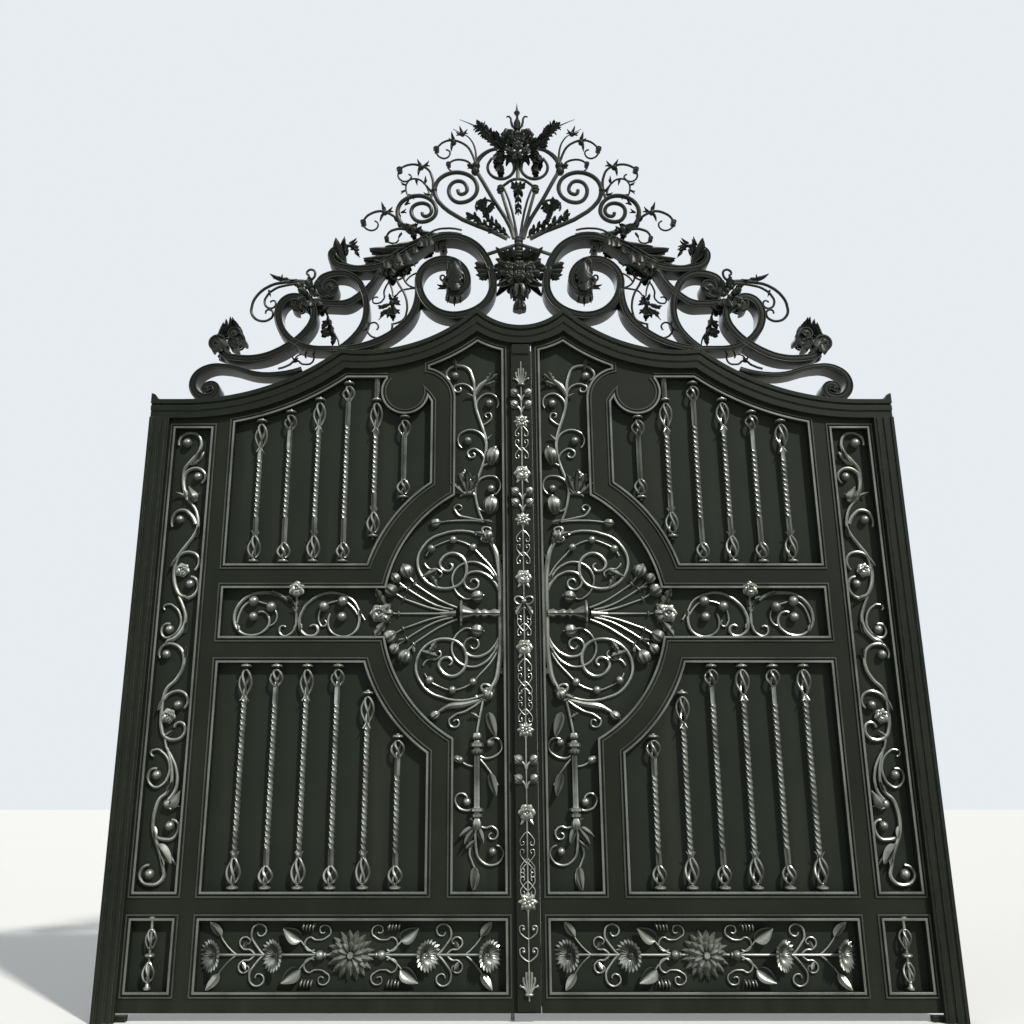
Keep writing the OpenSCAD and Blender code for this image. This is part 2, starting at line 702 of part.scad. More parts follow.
module fan_shape(g = 0) {
    for (m = [-1, 1]) scale_x(m) {
        bar([[26, 1010, 80], [146, 1269, 60], [243, 1432, 58]], stem_d + 2 * g, stem_d + 2 * g);
        bar([[16, 1010, 84], [94, 1305, 78], [0, 1408, 180]], 18 + 2 * g, 18 + 2 * g);
        difference() {
            translate([92, 1474]) circle(86 + g, $fn = 48);
            translate([92, 1474]) circle(70 - g, $fn = 48);
        }
    }
    translate([-9 - g, 1400]) square([18 + 2 * g, 282]);
}

module crest_fan() {
    crest(1, stem_d + 6) difference() {
        union() {
            hub_shape();
            fan_shape();
            fan_twigs();
        }
        for (m = [-1, 1]) scale_x(m) {
            spiral_shape(seat);
            translate([391, 762]) circle(238, $fn = 60);
        }
    }
}

// The bouquet: domed flowers in front of the fan and behind it.
module crest_bouquet() {
    placed() color(pewter) translate([0, 0, post_h + 1618])
        for (m = [0, 1]) mirror([0, m, 0]) translate([0, -stem_d / 2 - 3 - seat, 0]) rotate([90, 0, 0])
            rotate_extrude($fn = 48) polygon([[0, 0], [64, 0], [60, 12], [40, 30], [0, 38]]);
}

module crest_finial() {
    placed() color(iron) translate([0, 0, post_h]) rotate_extrude($fn = 48)
        polygon([[0, 1682 + seat], [16, 1682 + seat], [10, 1710], [10, 1740], [34, 1790], [26, 1820], [10, 1835],
            [16, 1850], [0, 1890]]);
}

// The drop of leaves that hangs from the hub between the two spirals.
module crest_pendant() {
    crest(1, 60) difference() {
        union() {
            strokes([[[[0, 984], [0, 900], [0, 700], [0, 560]], 12, 5]]);
            for (m = [-1, 1]) scale_x(m) strokes([
                [[[0, 700], [60, 730], [100, 800]], 20, 5, 40],
                [[[0, 760], [50, 820], [70, 880]], 20, 5, 30],
                [[[0, 680], [50, 660], [96, 690]], 16, 5, 30],
                [[[0, 640], [24, 600], [0, 562]], 10, 5, 16]]);
        }
        hub_shape(seat);
        for (m = [-1, 1]) scale_x(m) spiral_shape(seat);
    }
}

// Hinges: pins and lower knuckles on the post, bored knuckles with straps on the leaf.
module pintles(s) {
    on_side(s) color(steel) for (z = hinge_z) translate([hinge_x, hinge_y, z]) {
        cylinder(h = knuckle_h * 2, d = pin_d, $fn = 48);
        difference() {
            union() {
                cylinder(h = knuckle_h - 1, d = barrel_d, $fn = 48);
                translate([0, back_y - hinge_y + seat, 0])
                    cube([jamb_x + 22 - seat - hinge_x, hinge_y - back_y - seat, knuckle_h - 1]);
            }
            cylinder(h = knuckle_h, d = pin_d - 1, $fn = 48);
        }
    }
}

module leaf_hinges(s) {
    on_side(s) color(steel) for (z = hinge_z) translate([hinge_x, hinge_y, z + knuckle_h]) difference() {
        union() {
            cylinder(h = knuckle_h, d = barrel_d, $fn = 48);
            translate([-110, sheet_y - hinge_y + seat, 0]) cube([110, strap_t, knuckle_h]);
        }
        translate([0, 0, -1]) cylinder(h = knuckle_h + 2, d = pin_d + 2 * pin_gap, $fn = 48);
    }
}

// The meeting strip on the left leaf, which covers the joint between the leaves.
module meeting_strip() {
    placed() color(iron) {
        upright(leaf_y - strip_t, leaf_y - seat) difference() {
            translate([-strip_half, ground_gap + 12])
                square([2 * strip_half, post_h + dip_rise - header_h - 70]);
            above_curve(header_h + 6);
        }
        upright(leaf_y - strip_t - 10, leaf_y - seat)
            translate([-strip_half + 6, post_h + dip_rise - header_h - 62]) square([2 * strip_half - 12, 50]);
    }
}

// The vine on the meeting strip: a stem with tendrils, leaves and flowers.
module strip_vine() {
    placed() color(pewter) {
        upright(leaf_y - strip_t - 10 - seat, leaf_y - strip_t - seat) {
            strokes([[[[0, 90], [0, 3230]], 10, 10]]);
            for (z = vine_flowers) {
                flower(0, z, 40, 6);
                for (m = [-1, 1]) scale_x(m) strokes([
                    [[[0, z + 150], [38, z + 118], [20, z + 84]], 9, 6],
                    [[[0, z - 60], [38, z - 96], [18, z - 126]], 9, 6]]);
            }
        }
        for (z = vine_flowers) translate([0, leaf_y - strip_t - 10, z]) rotate([90, 0, 0])
            rotate_extrude($fn = 36) polygon([[0, 0], [26, 0], [24, 6], [10, 14], [0, 16]]);
    }
}

// Scrollwork inside a leaf lies on the backing sheet.
module in_panel() {
    upright(back_y - seat - scroll_d, back_y - seat) children();
}

// A side panel's scroll: one winding stem with curled ends round balls, drawn from the panel's corner.
side_strokes = [
    [[[176, 2775], [164, 2825], [129, 2843], [84, 2835], [57, 2790], [64, 2740], [105, 2685], [134, 2640],
        [136, 2590], [127, 2530], [104, 2470]], 9, 14],
    [[[39, 2565], [20, 2600], [42, 2635], [84, 2645], [122, 2622], [134, 2580]], 9, 14],
    [[[104, 2665], [70, 2690], [40, 2738]], 8, 4, 16],
    [[[104, 2470], [66, 2430], [42, 2370], [40, 2320], [58, 2275], [92, 2225], [130, 2165], [142, 2100],
        [138, 2040], [125, 2000], [99, 1962], [59, 1950], [22, 1975], [14, 2020], [29, 2050], [54, 2060]], 10, 10, 6],
    [[[174, 2325], [177, 2370], [154, 2408], [119, 2415], [79, 2388], [52, 2340]], 9, 14],
    [[[138, 2150], [109, 2182], [69, 2190], [29, 2170], [19, 2130], [36, 2095]], 12, 9],
    [[[109, 1958], [79, 1900], [64, 1850], [74, 1790], [109, 1745], [149, 1722], [152, 1712]], 10, 12, 6],
    [[[172, 1888], [180, 1905], [159, 1917], [119, 1900], [89, 1850], [89, 1800], [119, 1760], [160, 1748],
        [182, 1785], [169, 1812], [139, 1815]], 7, 10],
    [[[176, 1645], [182, 1680], [159, 1710], [119, 1715], [74, 1690], [54, 1640], [59, 1590], [84, 1540],
        [129, 1490], [144, 1435], [144, 1380], [140, 1310], [119, 1262], [79, 1245], [39, 1255], [19, 1290],
        [34, 1325], [59, 1328], [75, 1305]], 9, 9, 6],
    [[[138, 1440], [99, 1475], [59, 1480], [24, 1455], [19, 1420], [34, 1398]], 12, 9],
    [[[116, 1262], [108, 1215], [79, 1170], [49, 1110], [39, 1050], [49, 1000], [74, 965]], 8, 12],
    [[[100, 1205], [84, 1160], [69, 1100], [68, 1040], [84, 1000], [119, 965], [134, 920], [139, 870],
        [134, 820], [119, 780], [92, 720], [74, 660], [66, 620], [86, 590], [129, 580], [164, 592], [182, 622],
        [170, 655], [139, 668]], 10, 9, 5],
    [[[162, 1168], [180, 1185], [154, 1200], [114, 1180], [84, 1130], [84, 1080], [104, 1040], [139, 1022],
        [172, 1040], [184, 1075], [169, 1105], [142, 1108]], 7, 10],
    [[[124, 795], [79, 783], [39, 787], [16, 820], [20, 858], [50, 872]], 12, 9],
    [[[108, 760], [84, 735], [44, 705], [12, 668]], 10, 5, 12]];
side_balls = [[129, 2785, 42], [58, 2597, 38], [134, 2362, 38], [54, 2022, 38], [139, 1788, 38], [144, 1662, 38],
    [64, 1412, 38], [139, 1080, 38], [56, 845, 38], [133, 628, 40], [78, 2498, 36], [74, 945, 38]];

// A height on the side panel's drawing, and one of its bars, carried over to the panel's real height.
function side_z(z) = lower_z + (z - lower_z) * (side_top - lower_z) / (side_drawn - lower_z);
function side_line(k) = concat([[for (p = k[0]) [p[0], side_z(p[1])]]], [for (i = [1 : len(k) - 1]) k[i]]);

module side_scroll(s) {
    on_side(s) color(pewter) {
        in_panel() intersection() {
            translate([side_x0, 0]) {
                strokes([for (k = side_strokes) side_line(k)]);
                flower(104, side_z(2085), 34, 8);
                flower(109, side_z(1360), 34, 8);
            }
            side_panel(-seat);
        }
        translate([side_x0, 0, 0]) balls([for (b = side_balls) [b[0], side_z(b[1]), b[2]]], back_y - seat);
    }
}

// The cross panel's pair of C-scrolls, with buds on their inner lines.
cross_strokes = [
    [[[1204, 1938], [1244, 1965], [1324, 1978], [1394, 1965], [1449, 1920], [1472, 1860], [1459, 1800],
        [1419, 1765], [1374, 1758], [1324, 1775], [1294, 1815], [1298, 1852], [1325, 1878], [1352, 1876]], 16, 10],
    [[[1456, 1822], [1446, 1870], [1424, 1912], [1384, 1935], [1334, 1925], [1284, 1905], [1256, 1860],
        [1266, 1822], [1290, 1808]], 9, 7],
    [[[1158, 1950], [1157, 1870], [1157, 1815], [1180, 1768], [1214, 1755], [1239, 1780], [1229, 1806],
        [1209, 1802]], 12, 8],
    [[[808, 1838], [838, 1885], [864, 1930], [924, 1967], [994, 1978], [1074, 1945], [1124, 1890],
        [1140, 1830], [1124, 1775], [1086, 1755], [1052, 1764], [1044, 1790], [1062, 1811], [1084, 1804]], 8, 9, 8],
    [[[844, 1880], [836, 1825], [849, 1785], [884, 1757], [934, 1754], [979, 1780], [994, 1830], [984, 1870]], 12, 9],
    [[[846, 1865], [874, 1905], [919, 1935], [974, 1930], [1024, 1905], [1042, 1862], [1039, 1825],
        [1020, 1805], [1002, 1818], [1012, 1835]], 8, 7]];
cross_balls = [[1379, 1848, 40], [1379, 1938, 30], [1282, 1904, 32], [929, 1848, 40], [921, 1938, 30],
    [1022, 1904, 32]];

module cross_scroll(s) {
    on_side(s) color(pewter) {
        in_panel() intersection() {
            strokes(cross_strokes);
            translate([0, cross_z + seat]) square([baluster_outer - seat, cross_h - 2 * seat]);
        }
        balls(cross_balls, back_y - seat);
        upright(leaf_y - bead_t - 14, leaf_y - bead_t - seat) flower(1159, cross_top - 5, 38, 10);
    }
}

// The medallion: two spirals above each other, mirrored about a horizontal torch with a spray of rods.
medal_strokes = [
    [[[200, 402], [150, 350], [124, 260], [118, 120], [119, -2]], 10, 16, 8],
    [[[160, 372], [260, 428], [384, 425], [500, 370], [544, 275], [490, 165], [384, 130], [300, 165],
        [284, 230], [316, 296], [361, 315], [410, 292], [427, 258], [402, 230], [378, 232]], 10, 8, 6],
    [[[518, 215], [478, 232], [434, 218], [424, 190]], 8, 6],
    [[[124, 130], [150, 175], [194, 210], [254, 218], [300, 182], [284, 142], [246, 134], [232, 160]], 10, 8],
    [[[120, 150], [150, 208], [200, 250], [284, 265], [338, 226], [359, 160], [334, 104], [274, 75],
        [236, 88]], 10, 8],
    [[[119, 0], [250, 0]], 30, 26],
    [[[354, 0], [454, 100], [554, 165], [604, 226]], 9, 7],
    [[[354, 0], [474, 60], [589, 120], [644, 170]], 9, 7],
    [[[354, 0], [484, 30], [614, 75], [674, 112]], 9, 7],
    [[[354, 0], [500, 0], [700, 0]], 9, 8]];
medal_balls = [[479, 335, 34], [364, 378, 34], [259, 343, 34], [228, 92, 32], [604, 230, 34], [646, 170, 34],
    [672, 112, 34]];

module mirror_z(m) {
    translate([0, 0, medal_z]) mirror([0, 0, m]) children();
}

module medallion(s) {
    on_side(s) color(pewter) {
        in_panel() intersection() {
            union() for (m = [0, 1]) translate([0, medal_z]) mirror([0, m]) scale(medal_scale)
                strokes(medal_strokes);
            intersection() {
                medallion_opening(-seat);
                translate([inner_stile, medal_z - 450]) square([baluster_outer, 2 * 450]);
            }
            translate([0, medal_z]) circle(medal_r - seat, $fn = 120);
        }
        for (m = [0, 1]) mirror_z(m) balls([for (b = medal_balls) medal_scale * b], back_y - seat);
        upright(back_y - seat - 40, back_y - seat - 1) translate([0, medal_z])
            polygon([[150, 22], [162, 26], [174, 20], [186, 28], [204, 28], [216, 20], [240, 24], [256, 38],
                [300, 40], [329, 56], [334, 0], [329, -56], [300, -40], [256, -38], [240, -24], [216, -20],
                [204, -28], [186, -28], [174, -20], [162, -26], [150, -22]]);
    }
}

// The vine in the tall inner panel, above the medallion and below it.
vine_strokes = [
    [[[380, 3150], [404, 3180], [392, 3212], [344, 3235], [290, 3222], [259, 3160], [250, 3050], [240, 2980],
        [208, 2880], [188, 2800], [196, 2700], [222, 2620], [246, 2540], [238, 2450], [204, 2350]], 8, 10, 5],
    [[[252, 3070], [284, 3118], [330, 3128], [362, 3105], [342, 3085]], 9, 7],
    [[[250, 3050], [224, 3110], [180, 3150], [128, 3188]], 10, 4, 22],
    [[[240, 2985], [224, 3045], [168, 3072], [122, 3035], [128, 2990]], 10, 7],
    [[[212, 2890], [180, 2905], [158, 2945], [176, 2958]], 8, 6],
    [[[190, 2790], [224, 2848], [284, 2862], [339, 2815], [320, 2762]], 10, 7],
    [[[198, 2680], [222, 2740], [262, 2755], [286, 2722], [262, 2710]], 9, 7],
    [[[204, 2660], [170, 2680], [144, 2712]], 8, 10],
    [[[240, 2560], [184, 2602], [128, 2590], [112, 2545], [144, 2502]], 10, 7],
    [[[244, 2530], [280, 2580], [304, 2640]], 9, 4, 18],
    [[[246, 2500], [290, 2510], [326, 2490]], 9, 4, 14],
    [[[236, 2440], [190, 2410], [154, 2440]], 8, 8],
    [[[206, 2360], [270, 2372], [344, 2402], [352, 2436], [326, 2436]], 9, 6],
    [[[204, 1445], [284, 1420], [394, 1400], [464, 1350]], 9, 4, 24],
    [[[204, 1445], [290, 1385], [350, 1362], [376, 1330], [350, 1306], [324, 1326]], 9, 6],
    [[[204, 1445], [225, 1350], [239, 1270]], 9, 9],
    [[[239, 1205], [224, 1172], [150, 1168], [114, 1210], [136, 1252], [176, 1246]], 10, 7],
    [[[228, 1160], [172, 1092], [136, 1032]], 8, 8],
    [[[240, 1120], [290, 1128], [320, 1150]], 8, 8],
    [[[240, 935], [290, 915], [336, 940], [342, 975], [308, 994], [284, 972]], 9, 7],
    [[[239, 860], [244, 760], [226, 695], [174, 667], [122, 690], [112, 730], [144, 756]], 10, 7],
    [[[236, 850], [200, 830], [160, 840], [138, 805], [160, 785]], 9, 6],
    [[[246, 780], [272, 730], [256, 670], [230, 622], [250, 560]], 9, 5]];
vine_balls = [[356, 3172, 36], [170, 3012, 36], [286, 2798, 36], [142, 2714, 34], [162, 2532, 34],
    [156, 2442, 32], [172, 1232, 32], [134, 1030, 32], [320, 1150, 30], [286, 955, 32], [164, 728, 32],
    [230, 622, 32]];

module vine(s) {
    on_side(s) color(pewter) {
        in_panel() difference() {
            intersection() {
                strokes(vine_strokes);
                medallion_opening(-seat);
            }
            translate([0, medal_z - 450 - seat]) square([baluster_outer, 900 + 2 * seat]);
        }
        balls(vine_balls, back_y - seat);
        translate([239, back_y - seat - 22, 0]) rotate_extrude($fn = 48)
            polygon([[0, 870], [12, 874], [12, 893], [21, 897], [21, 905], [15, 912], [21, 919], [21, 928],
                [10, 936], [10, 1188], [21, 1196], [21, 1205], [15, 1212], [21, 1219], [21, 1228], [12, 1234],
                [12, 1262], [0, 1272]]);
    }
}

// The bottom panel: a rosette with a rod on each side that carries fluted bells, leaves and spirals.
floral_strokes = [
    [[[80, 0], [300, 0]], 11, 11],
    [[[400, 0], [590, 0]], 11, 11],
    [[[440, 0], [426, 45], [430, 100], [460, 122], [484, 100], [466, 80]], 10, 7],
    [[[480, 0], [514, 40], [498, 70], [466, 62], [468, 38]], 9, 6],
    [[[540, 0], [590, 50], [650, 130]], 8, 3, 40],
    [[[150, 0], [215, 40], [215, 95], [172, 64], [122, 66], [94, 98], [118, 126], [146, 110]], 8, 7],
    [[[230, 0], [262, 60], [262, 110], [300, 138]], 8, 3, 34],
    [[[226, 0], [226, 60], [190, 110], [170, 130]], 8, 22]];

module bell_flower() {
    polygon([[0, -7], [40, -36], [86, -50], [112, -46], [122, -30], [116, -14], [126, 0], [116, 14], [122, 30],
        [112, 46], [86, 50], [40, 36], [0, 7]]);
}

module floral_panel(s) {
    mid_x = (inner_stile + baluster_outer) / 2 + 6;
    mid_z = floral_z + floral_h / 2;
    on_side(s) color(pewter) {
        in_panel() intersection() {
            translate([mid_x, mid_z]) for (m = [0, 1], k = [0, 1]) mirror([m, 0]) mirror([0, k])
                strokes(floral_strokes);
            floral_opening(-seat);
        }
        upright(back_y - seat - 34, back_y - seat) intersection() {
            translate([mid_x, mid_z]) {
                flower(0, 0, 102, 12);
                for (m = [0, 1], x = [294, 578]) mirror([m, 0]) translate([x, 0]) bell_flower();
            }
            floral_opening(-seat);
        }
        translate([mid_x, back_y - seat - 34, mid_z]) rotate([90, 0, 0])
            rotate_extrude($fn = 36) polygon([[0, 0], [40, 0], [36, 8], [12, 18], [0, 20]]);
        translate([mid_x, 0, mid_z]) balls([[-143, 0, 40], [143, 0, 40]], back_y - seat);
    }
}

// The drop bolt behind the left leaf's meeting stile, and the guides it slides in.
module at_bolt() {
    placed() translate([-74, sheet_y + bolt_stand + bolt_d / 2, 0]) children();
}

module drop_bolt() {
    at_bolt() color(steel) translate([0, 0, 2]) cylinder(h = bolt_l, d = bolt_d, $fn = 48);
}

module bolt_guides() {
    at_bolt() color(steel) for (z = [ground_gap + 40, ground_gap + bolt_l - 140]) translate([0, 0, z])
        difference() {
            translate([-bolt_d, -bolt_d / 2 - bolt_stand + seat, 0]) cube([2 * bolt_d, bolt_d + 2 * bolt_stand, 40]);
            translate([0, 0, -1]) cylinder(h = 42, d = bolt_d + 2 * bolt_gap, $fn = 48);
        }
}

post(-1);  // left_post
post(1);  // right_post
header();
spiral(-1);  // left_spiral
spiral(1);  // right_spiral
rings(-1);  // left_rings
rings(1);  // right_rings
low_scroll(-1);  // left_low_scroll
low_scroll(1);  // right_low_scroll
volutes(-1);  // left_volutes
volutes(1);  // right_volutes
crest_fan();
crest_bouquet();
crest_finial();
crest_pendant();
pintles(-1);  // left_pintles
pintles(1);  // right_pintles
leaf_frame(-1);  // left_leaf_frame
leaf_sheet(-1);  // left_leaf_sheet
leaf_mouldings(-1);  // left_leaf_mouldings
upper_balusters(-1);  // left_upper_balusters
lower_balusters(-1);  // left_lower_balusters
small_baluster(-1);  // left_small_baluster
side_scroll(-1);  // left_side_scroll
cross_scroll(-1);  // left_cross_scroll
medallion(-1);  // left_medallion
vine(-1);  // left_vine
floral_panel(-1);  // left_floral_panel
leaf_hinges(-1);  // left_leaf_hinges
leaf_frame(1);  // right_leaf_frame
leaf_sheet(1);  // right_leaf_sheet
leaf_mouldings(1);  // right_leaf_mouldings
upper_balusters(1);  // right_upper_balusters
lower_balusters(1);  // right_lower_balusters
small_baluster(1);  // right_small_baluster
side_scroll(1);  // right_side_scroll
cross_scroll(1);  // right_cross_scroll
medallion(1);  // right_medallion
vine(1);  // right_vine
floral_panel(1);  // right_floral_panel
leaf_hinges(1);  // right_leaf_hinges
meeting_strip();
strip_vine();
bolt_guides();
drop_bolt();
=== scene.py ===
"""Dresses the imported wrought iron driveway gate: forged scrollwork, leaves, flowers and painted finishes."""

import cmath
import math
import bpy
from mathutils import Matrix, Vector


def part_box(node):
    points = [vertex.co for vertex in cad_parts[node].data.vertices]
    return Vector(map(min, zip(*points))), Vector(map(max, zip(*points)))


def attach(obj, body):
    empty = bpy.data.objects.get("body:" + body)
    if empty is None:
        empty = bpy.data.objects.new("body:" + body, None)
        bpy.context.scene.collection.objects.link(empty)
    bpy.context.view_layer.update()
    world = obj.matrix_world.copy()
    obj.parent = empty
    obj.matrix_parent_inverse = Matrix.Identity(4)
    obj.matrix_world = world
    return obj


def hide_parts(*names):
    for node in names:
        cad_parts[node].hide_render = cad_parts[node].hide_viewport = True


bl_info = {
    "name": "Wrought Iron Driveway Gate",
    "version": (1, 0, 0),
    "blender": (4, 5, 0),
    "location": "View3D > Sidebar > Gate",
    "description": "Forged scrollwork, leaves, flowers and painted finishes for a double-leaf driveway gate",
    "category": "Add Mesh",
}

import bmesh
import bpy
from mathutils import Matrix, Vector

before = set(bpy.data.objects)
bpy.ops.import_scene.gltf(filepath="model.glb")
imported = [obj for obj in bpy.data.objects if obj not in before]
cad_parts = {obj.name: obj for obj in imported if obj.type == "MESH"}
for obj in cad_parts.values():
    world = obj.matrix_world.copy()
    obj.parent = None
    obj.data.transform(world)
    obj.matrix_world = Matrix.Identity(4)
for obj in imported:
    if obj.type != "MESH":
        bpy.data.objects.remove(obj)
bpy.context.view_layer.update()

# Lengths are in millimetres: the gate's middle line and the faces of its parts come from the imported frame.
# HEADER_TOP is the height of the header's level shoulders, and MEDAL_Z that of the medallion's middle.
MID = 500 * (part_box("left_post")[0].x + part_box("right_post")[1].x)
HEADER_TOP = 3012.0
SHEET_FRONT = 1000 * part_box("left_leaf_sheet")[0].y
LEAF_FRONT = 1000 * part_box("left_leaf_frame")[0].y
STRIP_FRONT = LEAF_FRONT - 24.0
MEDAL_Z = 1870.0
SIDES = ((-1, "left"), (1, "right"))


# Paths. A path is a list of (x, z) or (x, z, heading in degrees), joined by pairs of tangent arcs.

def wrap(angle):
    return (angle + math.pi) % (2 * math.pi) - math.pi


def headings(points):
    """Gives each point the heading of the circle through it and its neighbours."""
    p = [complex(q[0], q[1]) for q in points]
    last = len(p) - 1

    def aim(a, b):
        return cmath.phase(p[b] - p[a])

    def middle(i):
        return aim(i, i + 1) - wrap(aim(i - 1, i + 1) - aim(i - 1, i))

    if last == 1:
        return [(p[0], aim(0, 1)), (p[1], aim(0, 1))]
    found = []
    for i, q in enumerate(points):
        if len(q) > 2:
            found.append(math.radians(q[2]))
        elif i == 0:
            found.append(2 * aim(0, 1) - middle(1))
        elif i == last:
            found.append(2 * aim(last - 1, last) - middle(last - 1))
        else:
            found.append(middle(i))
    return list(zip(p, found))


def arc(start, heading, end, step):
    """Points of the arc that leaves start along heading and reaches end."""
    reach = end - start
    half = wrap(cmath.phase(reach) - heading) if abs(reach) > 1e-6 else 0.0
    if abs(half) < 0.007:
        return [(end, heading + 2 * half)]
    count = max(1, math.ceil(2 * abs(half) / step))
    radius = abs(reach) / (2 * math.sin(half))
    found = []
    for i in range(1, count + 1):
        now = heading + 2 * half * i / count
        found.append((start + radius * 1j * (cmath.rect(1, heading) - cmath.rect(1, now)), now))
    return found


def route(points, step=9.0):
    """Stations (point, heading) along a smooth path."""
    knots = headings(points)
    step = math.radians(step)
    found = [knots[0]]
    for (p, a), (q, b) in zip(knots, knots[1:]):
        ua, ub, v = cmath.rect(1, a), cmath.rect(1, b), q - p
        bend = 2 * (1 - (ua * ub.conjugate()).real)
        along = (v * (ua + ub).conjugate()).real
        if bend < 1e-4:
            reach = abs(v) ** 2 / (4 * max(1e-6, (v * ub.conjugate()).real))
        else:
            reach = (-along + math.sqrt(along * along + bend * abs(v) ** 2)) / bend
        joint = (p + q + reach * (ua - ub)) / 2
        found += arc(p, a, joint, step)
        found += arc(joint, 2 * cmath.phase(joint - p) - a, q, step)
    return found


def lay(x, y, z, angle=0.0, rise=0.0, size=1.0):
    """Places a stamp: its X runs at an angle in the gate's plane, its Z towards the street."""
    a = math.radians(angle)
    turn = Matrix(((math.cos(a), -math.sin(a), 0), (0, 0, -1), (math.sin(a), math.cos(a), 0)))
    if isinstance(size, (int, float)):
        size = (size, size, size)
    return (Matrix.Translation((x, y, z)) @ turn.to_4x4() @ Matrix.Rotation(-math.radians(rise), 4, "Y")
            @ Matrix.Diagonal((*size, 1)))


# Small shapes that are made once and stamped many times. They are about 1 long or 1 in radius.

def leaf_surface(bm, nx, ny, width, lobes=0, notch=0.4, curl=0.0, cup=0.0, ridge=0.03, sweep=0.0, blunt=0.75,
                 wall=0.02):
    """A leaf 1 long from its root at the origin, with a lobed edge, a curled tip and a ridge."""
    made = bmesh.ops.create_grid(bm, x_segments=nx, y_segments=ny, size=0.5)
    for v in made["verts"]:
        u, s = v.co.x + 0.5, 2 * v.co.y
        half = width / 2 * max(0.07, math.sin(math.pi * min(1, max(0, u)) ** blunt)) ** 0.75
        wave = abs(math.cos(math.pi * lobes * u)) ** 0.6 if lobes else 1.0
        half *= 1 - notch * abs(s) * (1 - wave)
        along = u + sweep * abs(s) * half
        bend = curl * max(0.0, along) ** 1.5
        lift = ridge * (math.exp(-(s / 0.22) ** 2) + 0.5 * wave * abs(s) * (1 - abs(s)) * (1 if lobes else 0))
        height = lift - cup * s * s * half
        x = along if abs(bend) < 1e-4 else math.sin(bend) * along / bend
        rise = 0.0 if abs(bend) < 1e-4 else (1 - math.cos(bend)) * along / bend
        v.co = (x - height * math.sin(bend), s * half, rise + height * math.cos(bend))
    bmesh.ops.solidify(bm, geom=bm.faces[:], thickness=wall)


# Leaves that are stamped, as what leaf_surface takes.
LEAVES = {
    "blade": dict(nx=9, ny=4, width=0.34, curl=0.45, cup=0.4, ridge=0.03),
    "acanthus": dict(nx=26, ny=8, width=0.54, lobes=4, notch=0.34, curl=0.5, cup=0.6, ridge=0.07, sweep=0.3,
                     wall=0.05),
    "feather": dict(nx=20, ny=6, width=0.42, lobes=3, notch=0.45, curl=0.35, cup=0.45, ridge=0.07, sweep=0.55,
                    wall=0.05),
    "petal": dict(nx=7, ny=4, width=0.8, curl=-0.5, cup=0.3, ridge=0.0, blunt=1.25, wall=0.06),
    "lancet": dict(nx=7, ny=4, width=0.3, curl=-0.3, cup=0.8, ridge=0.06, blunt=1.0, wall=0.06),
    "frond": dict(nx=12, ny=6, width=0.32, curl=0.55, cup=0.6, ridge=0.08, blunt=0.6, wall=0.06),
    "tongue": dict(nx=14, ny=4, width=0.2, curl=0.2, cup=0.7, ridge=0.04, blunt=0.7, wall=0.05),
    "calla": dict(nx=18, ny=10, width=0.72, curl=0.1, cup=-0.75, ridge=0, blunt=0.72, wall=0.05)}


def spun(bm, profile, steps=16, flutes=0, depth=0.0):
    """Spins a profile of (along, radius) about X. Flutes ripple its radius."""
    verts = [bm.verts.new((x, 0, max(r, 0.0))) for x, r in profile]
    edges = [bm.edges.new(pair) for pair in zip(verts, verts[1:])]
    bmesh.ops.spin(bm, geom=verts + edges, cent=(0, 0, 0), axis=(1, 0, 0), angle=2 * math.pi, steps=steps,
                   use_merge=True)
    bmesh.ops.remove_doubles(bm, verts=bm.verts, dist=1e-5)
    if flutes:
        for v in bm.verts:
            grow = 1 + depth * math.cos(flutes * math.atan2(v.co.y, v.co.z))
            v.co.y *= grow
            v.co.z *= grow


def shape_ball(bm):
    spun(bm, [(-1, 0)] + [(-math.cos(math.radians(a)), math.sin(math.radians(a))) for a in range(20, 161, 20)]
         + [(0.98, 0.1), (1.02, 0)], 14)


def shape_drop(bm):
    spun(bm, [(0, 0), (0.02, 0.1), (0.1, 0.2), (0.25, 0.27), (0.42, 0.25), (0.6, 0.17), (0.8, 0.08),
              (0.95, 0.03), (1, 0)], 10, 5, 0.08)


def shape_bead_ring(bm):
    spun(bm, [(-0.5, 0), (-0.5, 0.75), (-0.3, 0.97), (0, 1.05), (0.3, 0.97), (0.5, 0.75), (0.5, 0)], 14)


STAMPS = {}


def stamp_mesh(name):
    """The mesh of a small shape, made when it is first asked for."""
    if name not in STAMPS:
        bm = bmesh.new()
        if name in LEAVES:
            leaf_surface(bm, **LEAVES[name])
        else:
            SHAPES[name](bm)
        bmesh.ops.remove_doubles(bm, verts=bm.verts, dist=1e-5)
        bmesh.ops.recalc_face_normals(bm, faces=bm.faces)
        mesh = bpy.data.meshes.new("stamp_" + name)
        bm.to_mesh(mesh)
        bm.free()
        STAMPS[name] = mesh
    return STAMPS[name]


def stamp_in(bm, name, matrix):
    """Adds a stamped shape to a bmesh."""
    before = len(bm.verts)
    bm.from_mesh(stamp_mesh(name))
    bm.verts.ensure_lookup_table()
    bmesh.ops.transform(bm, matrix=matrix, verts=bm.verts[before:])


def petals_in(bm, name, matrix, count, inner, rise, size, phase=0.0):
    """Adds a ring of petals that open outwards about the stamp's Z."""
    for i in range(count):
        turn = Matrix.Rotation(math.radians(phase + 360 * i / count), 4, "Z")
        stamp_in(bm, name, matrix @ turn @ Matrix.Translation((inner, 0, 0))
                 @ Matrix.Rotation(-math.radians(rise), 4, "Y") @ Matrix.Diagonal((*size, 1)))


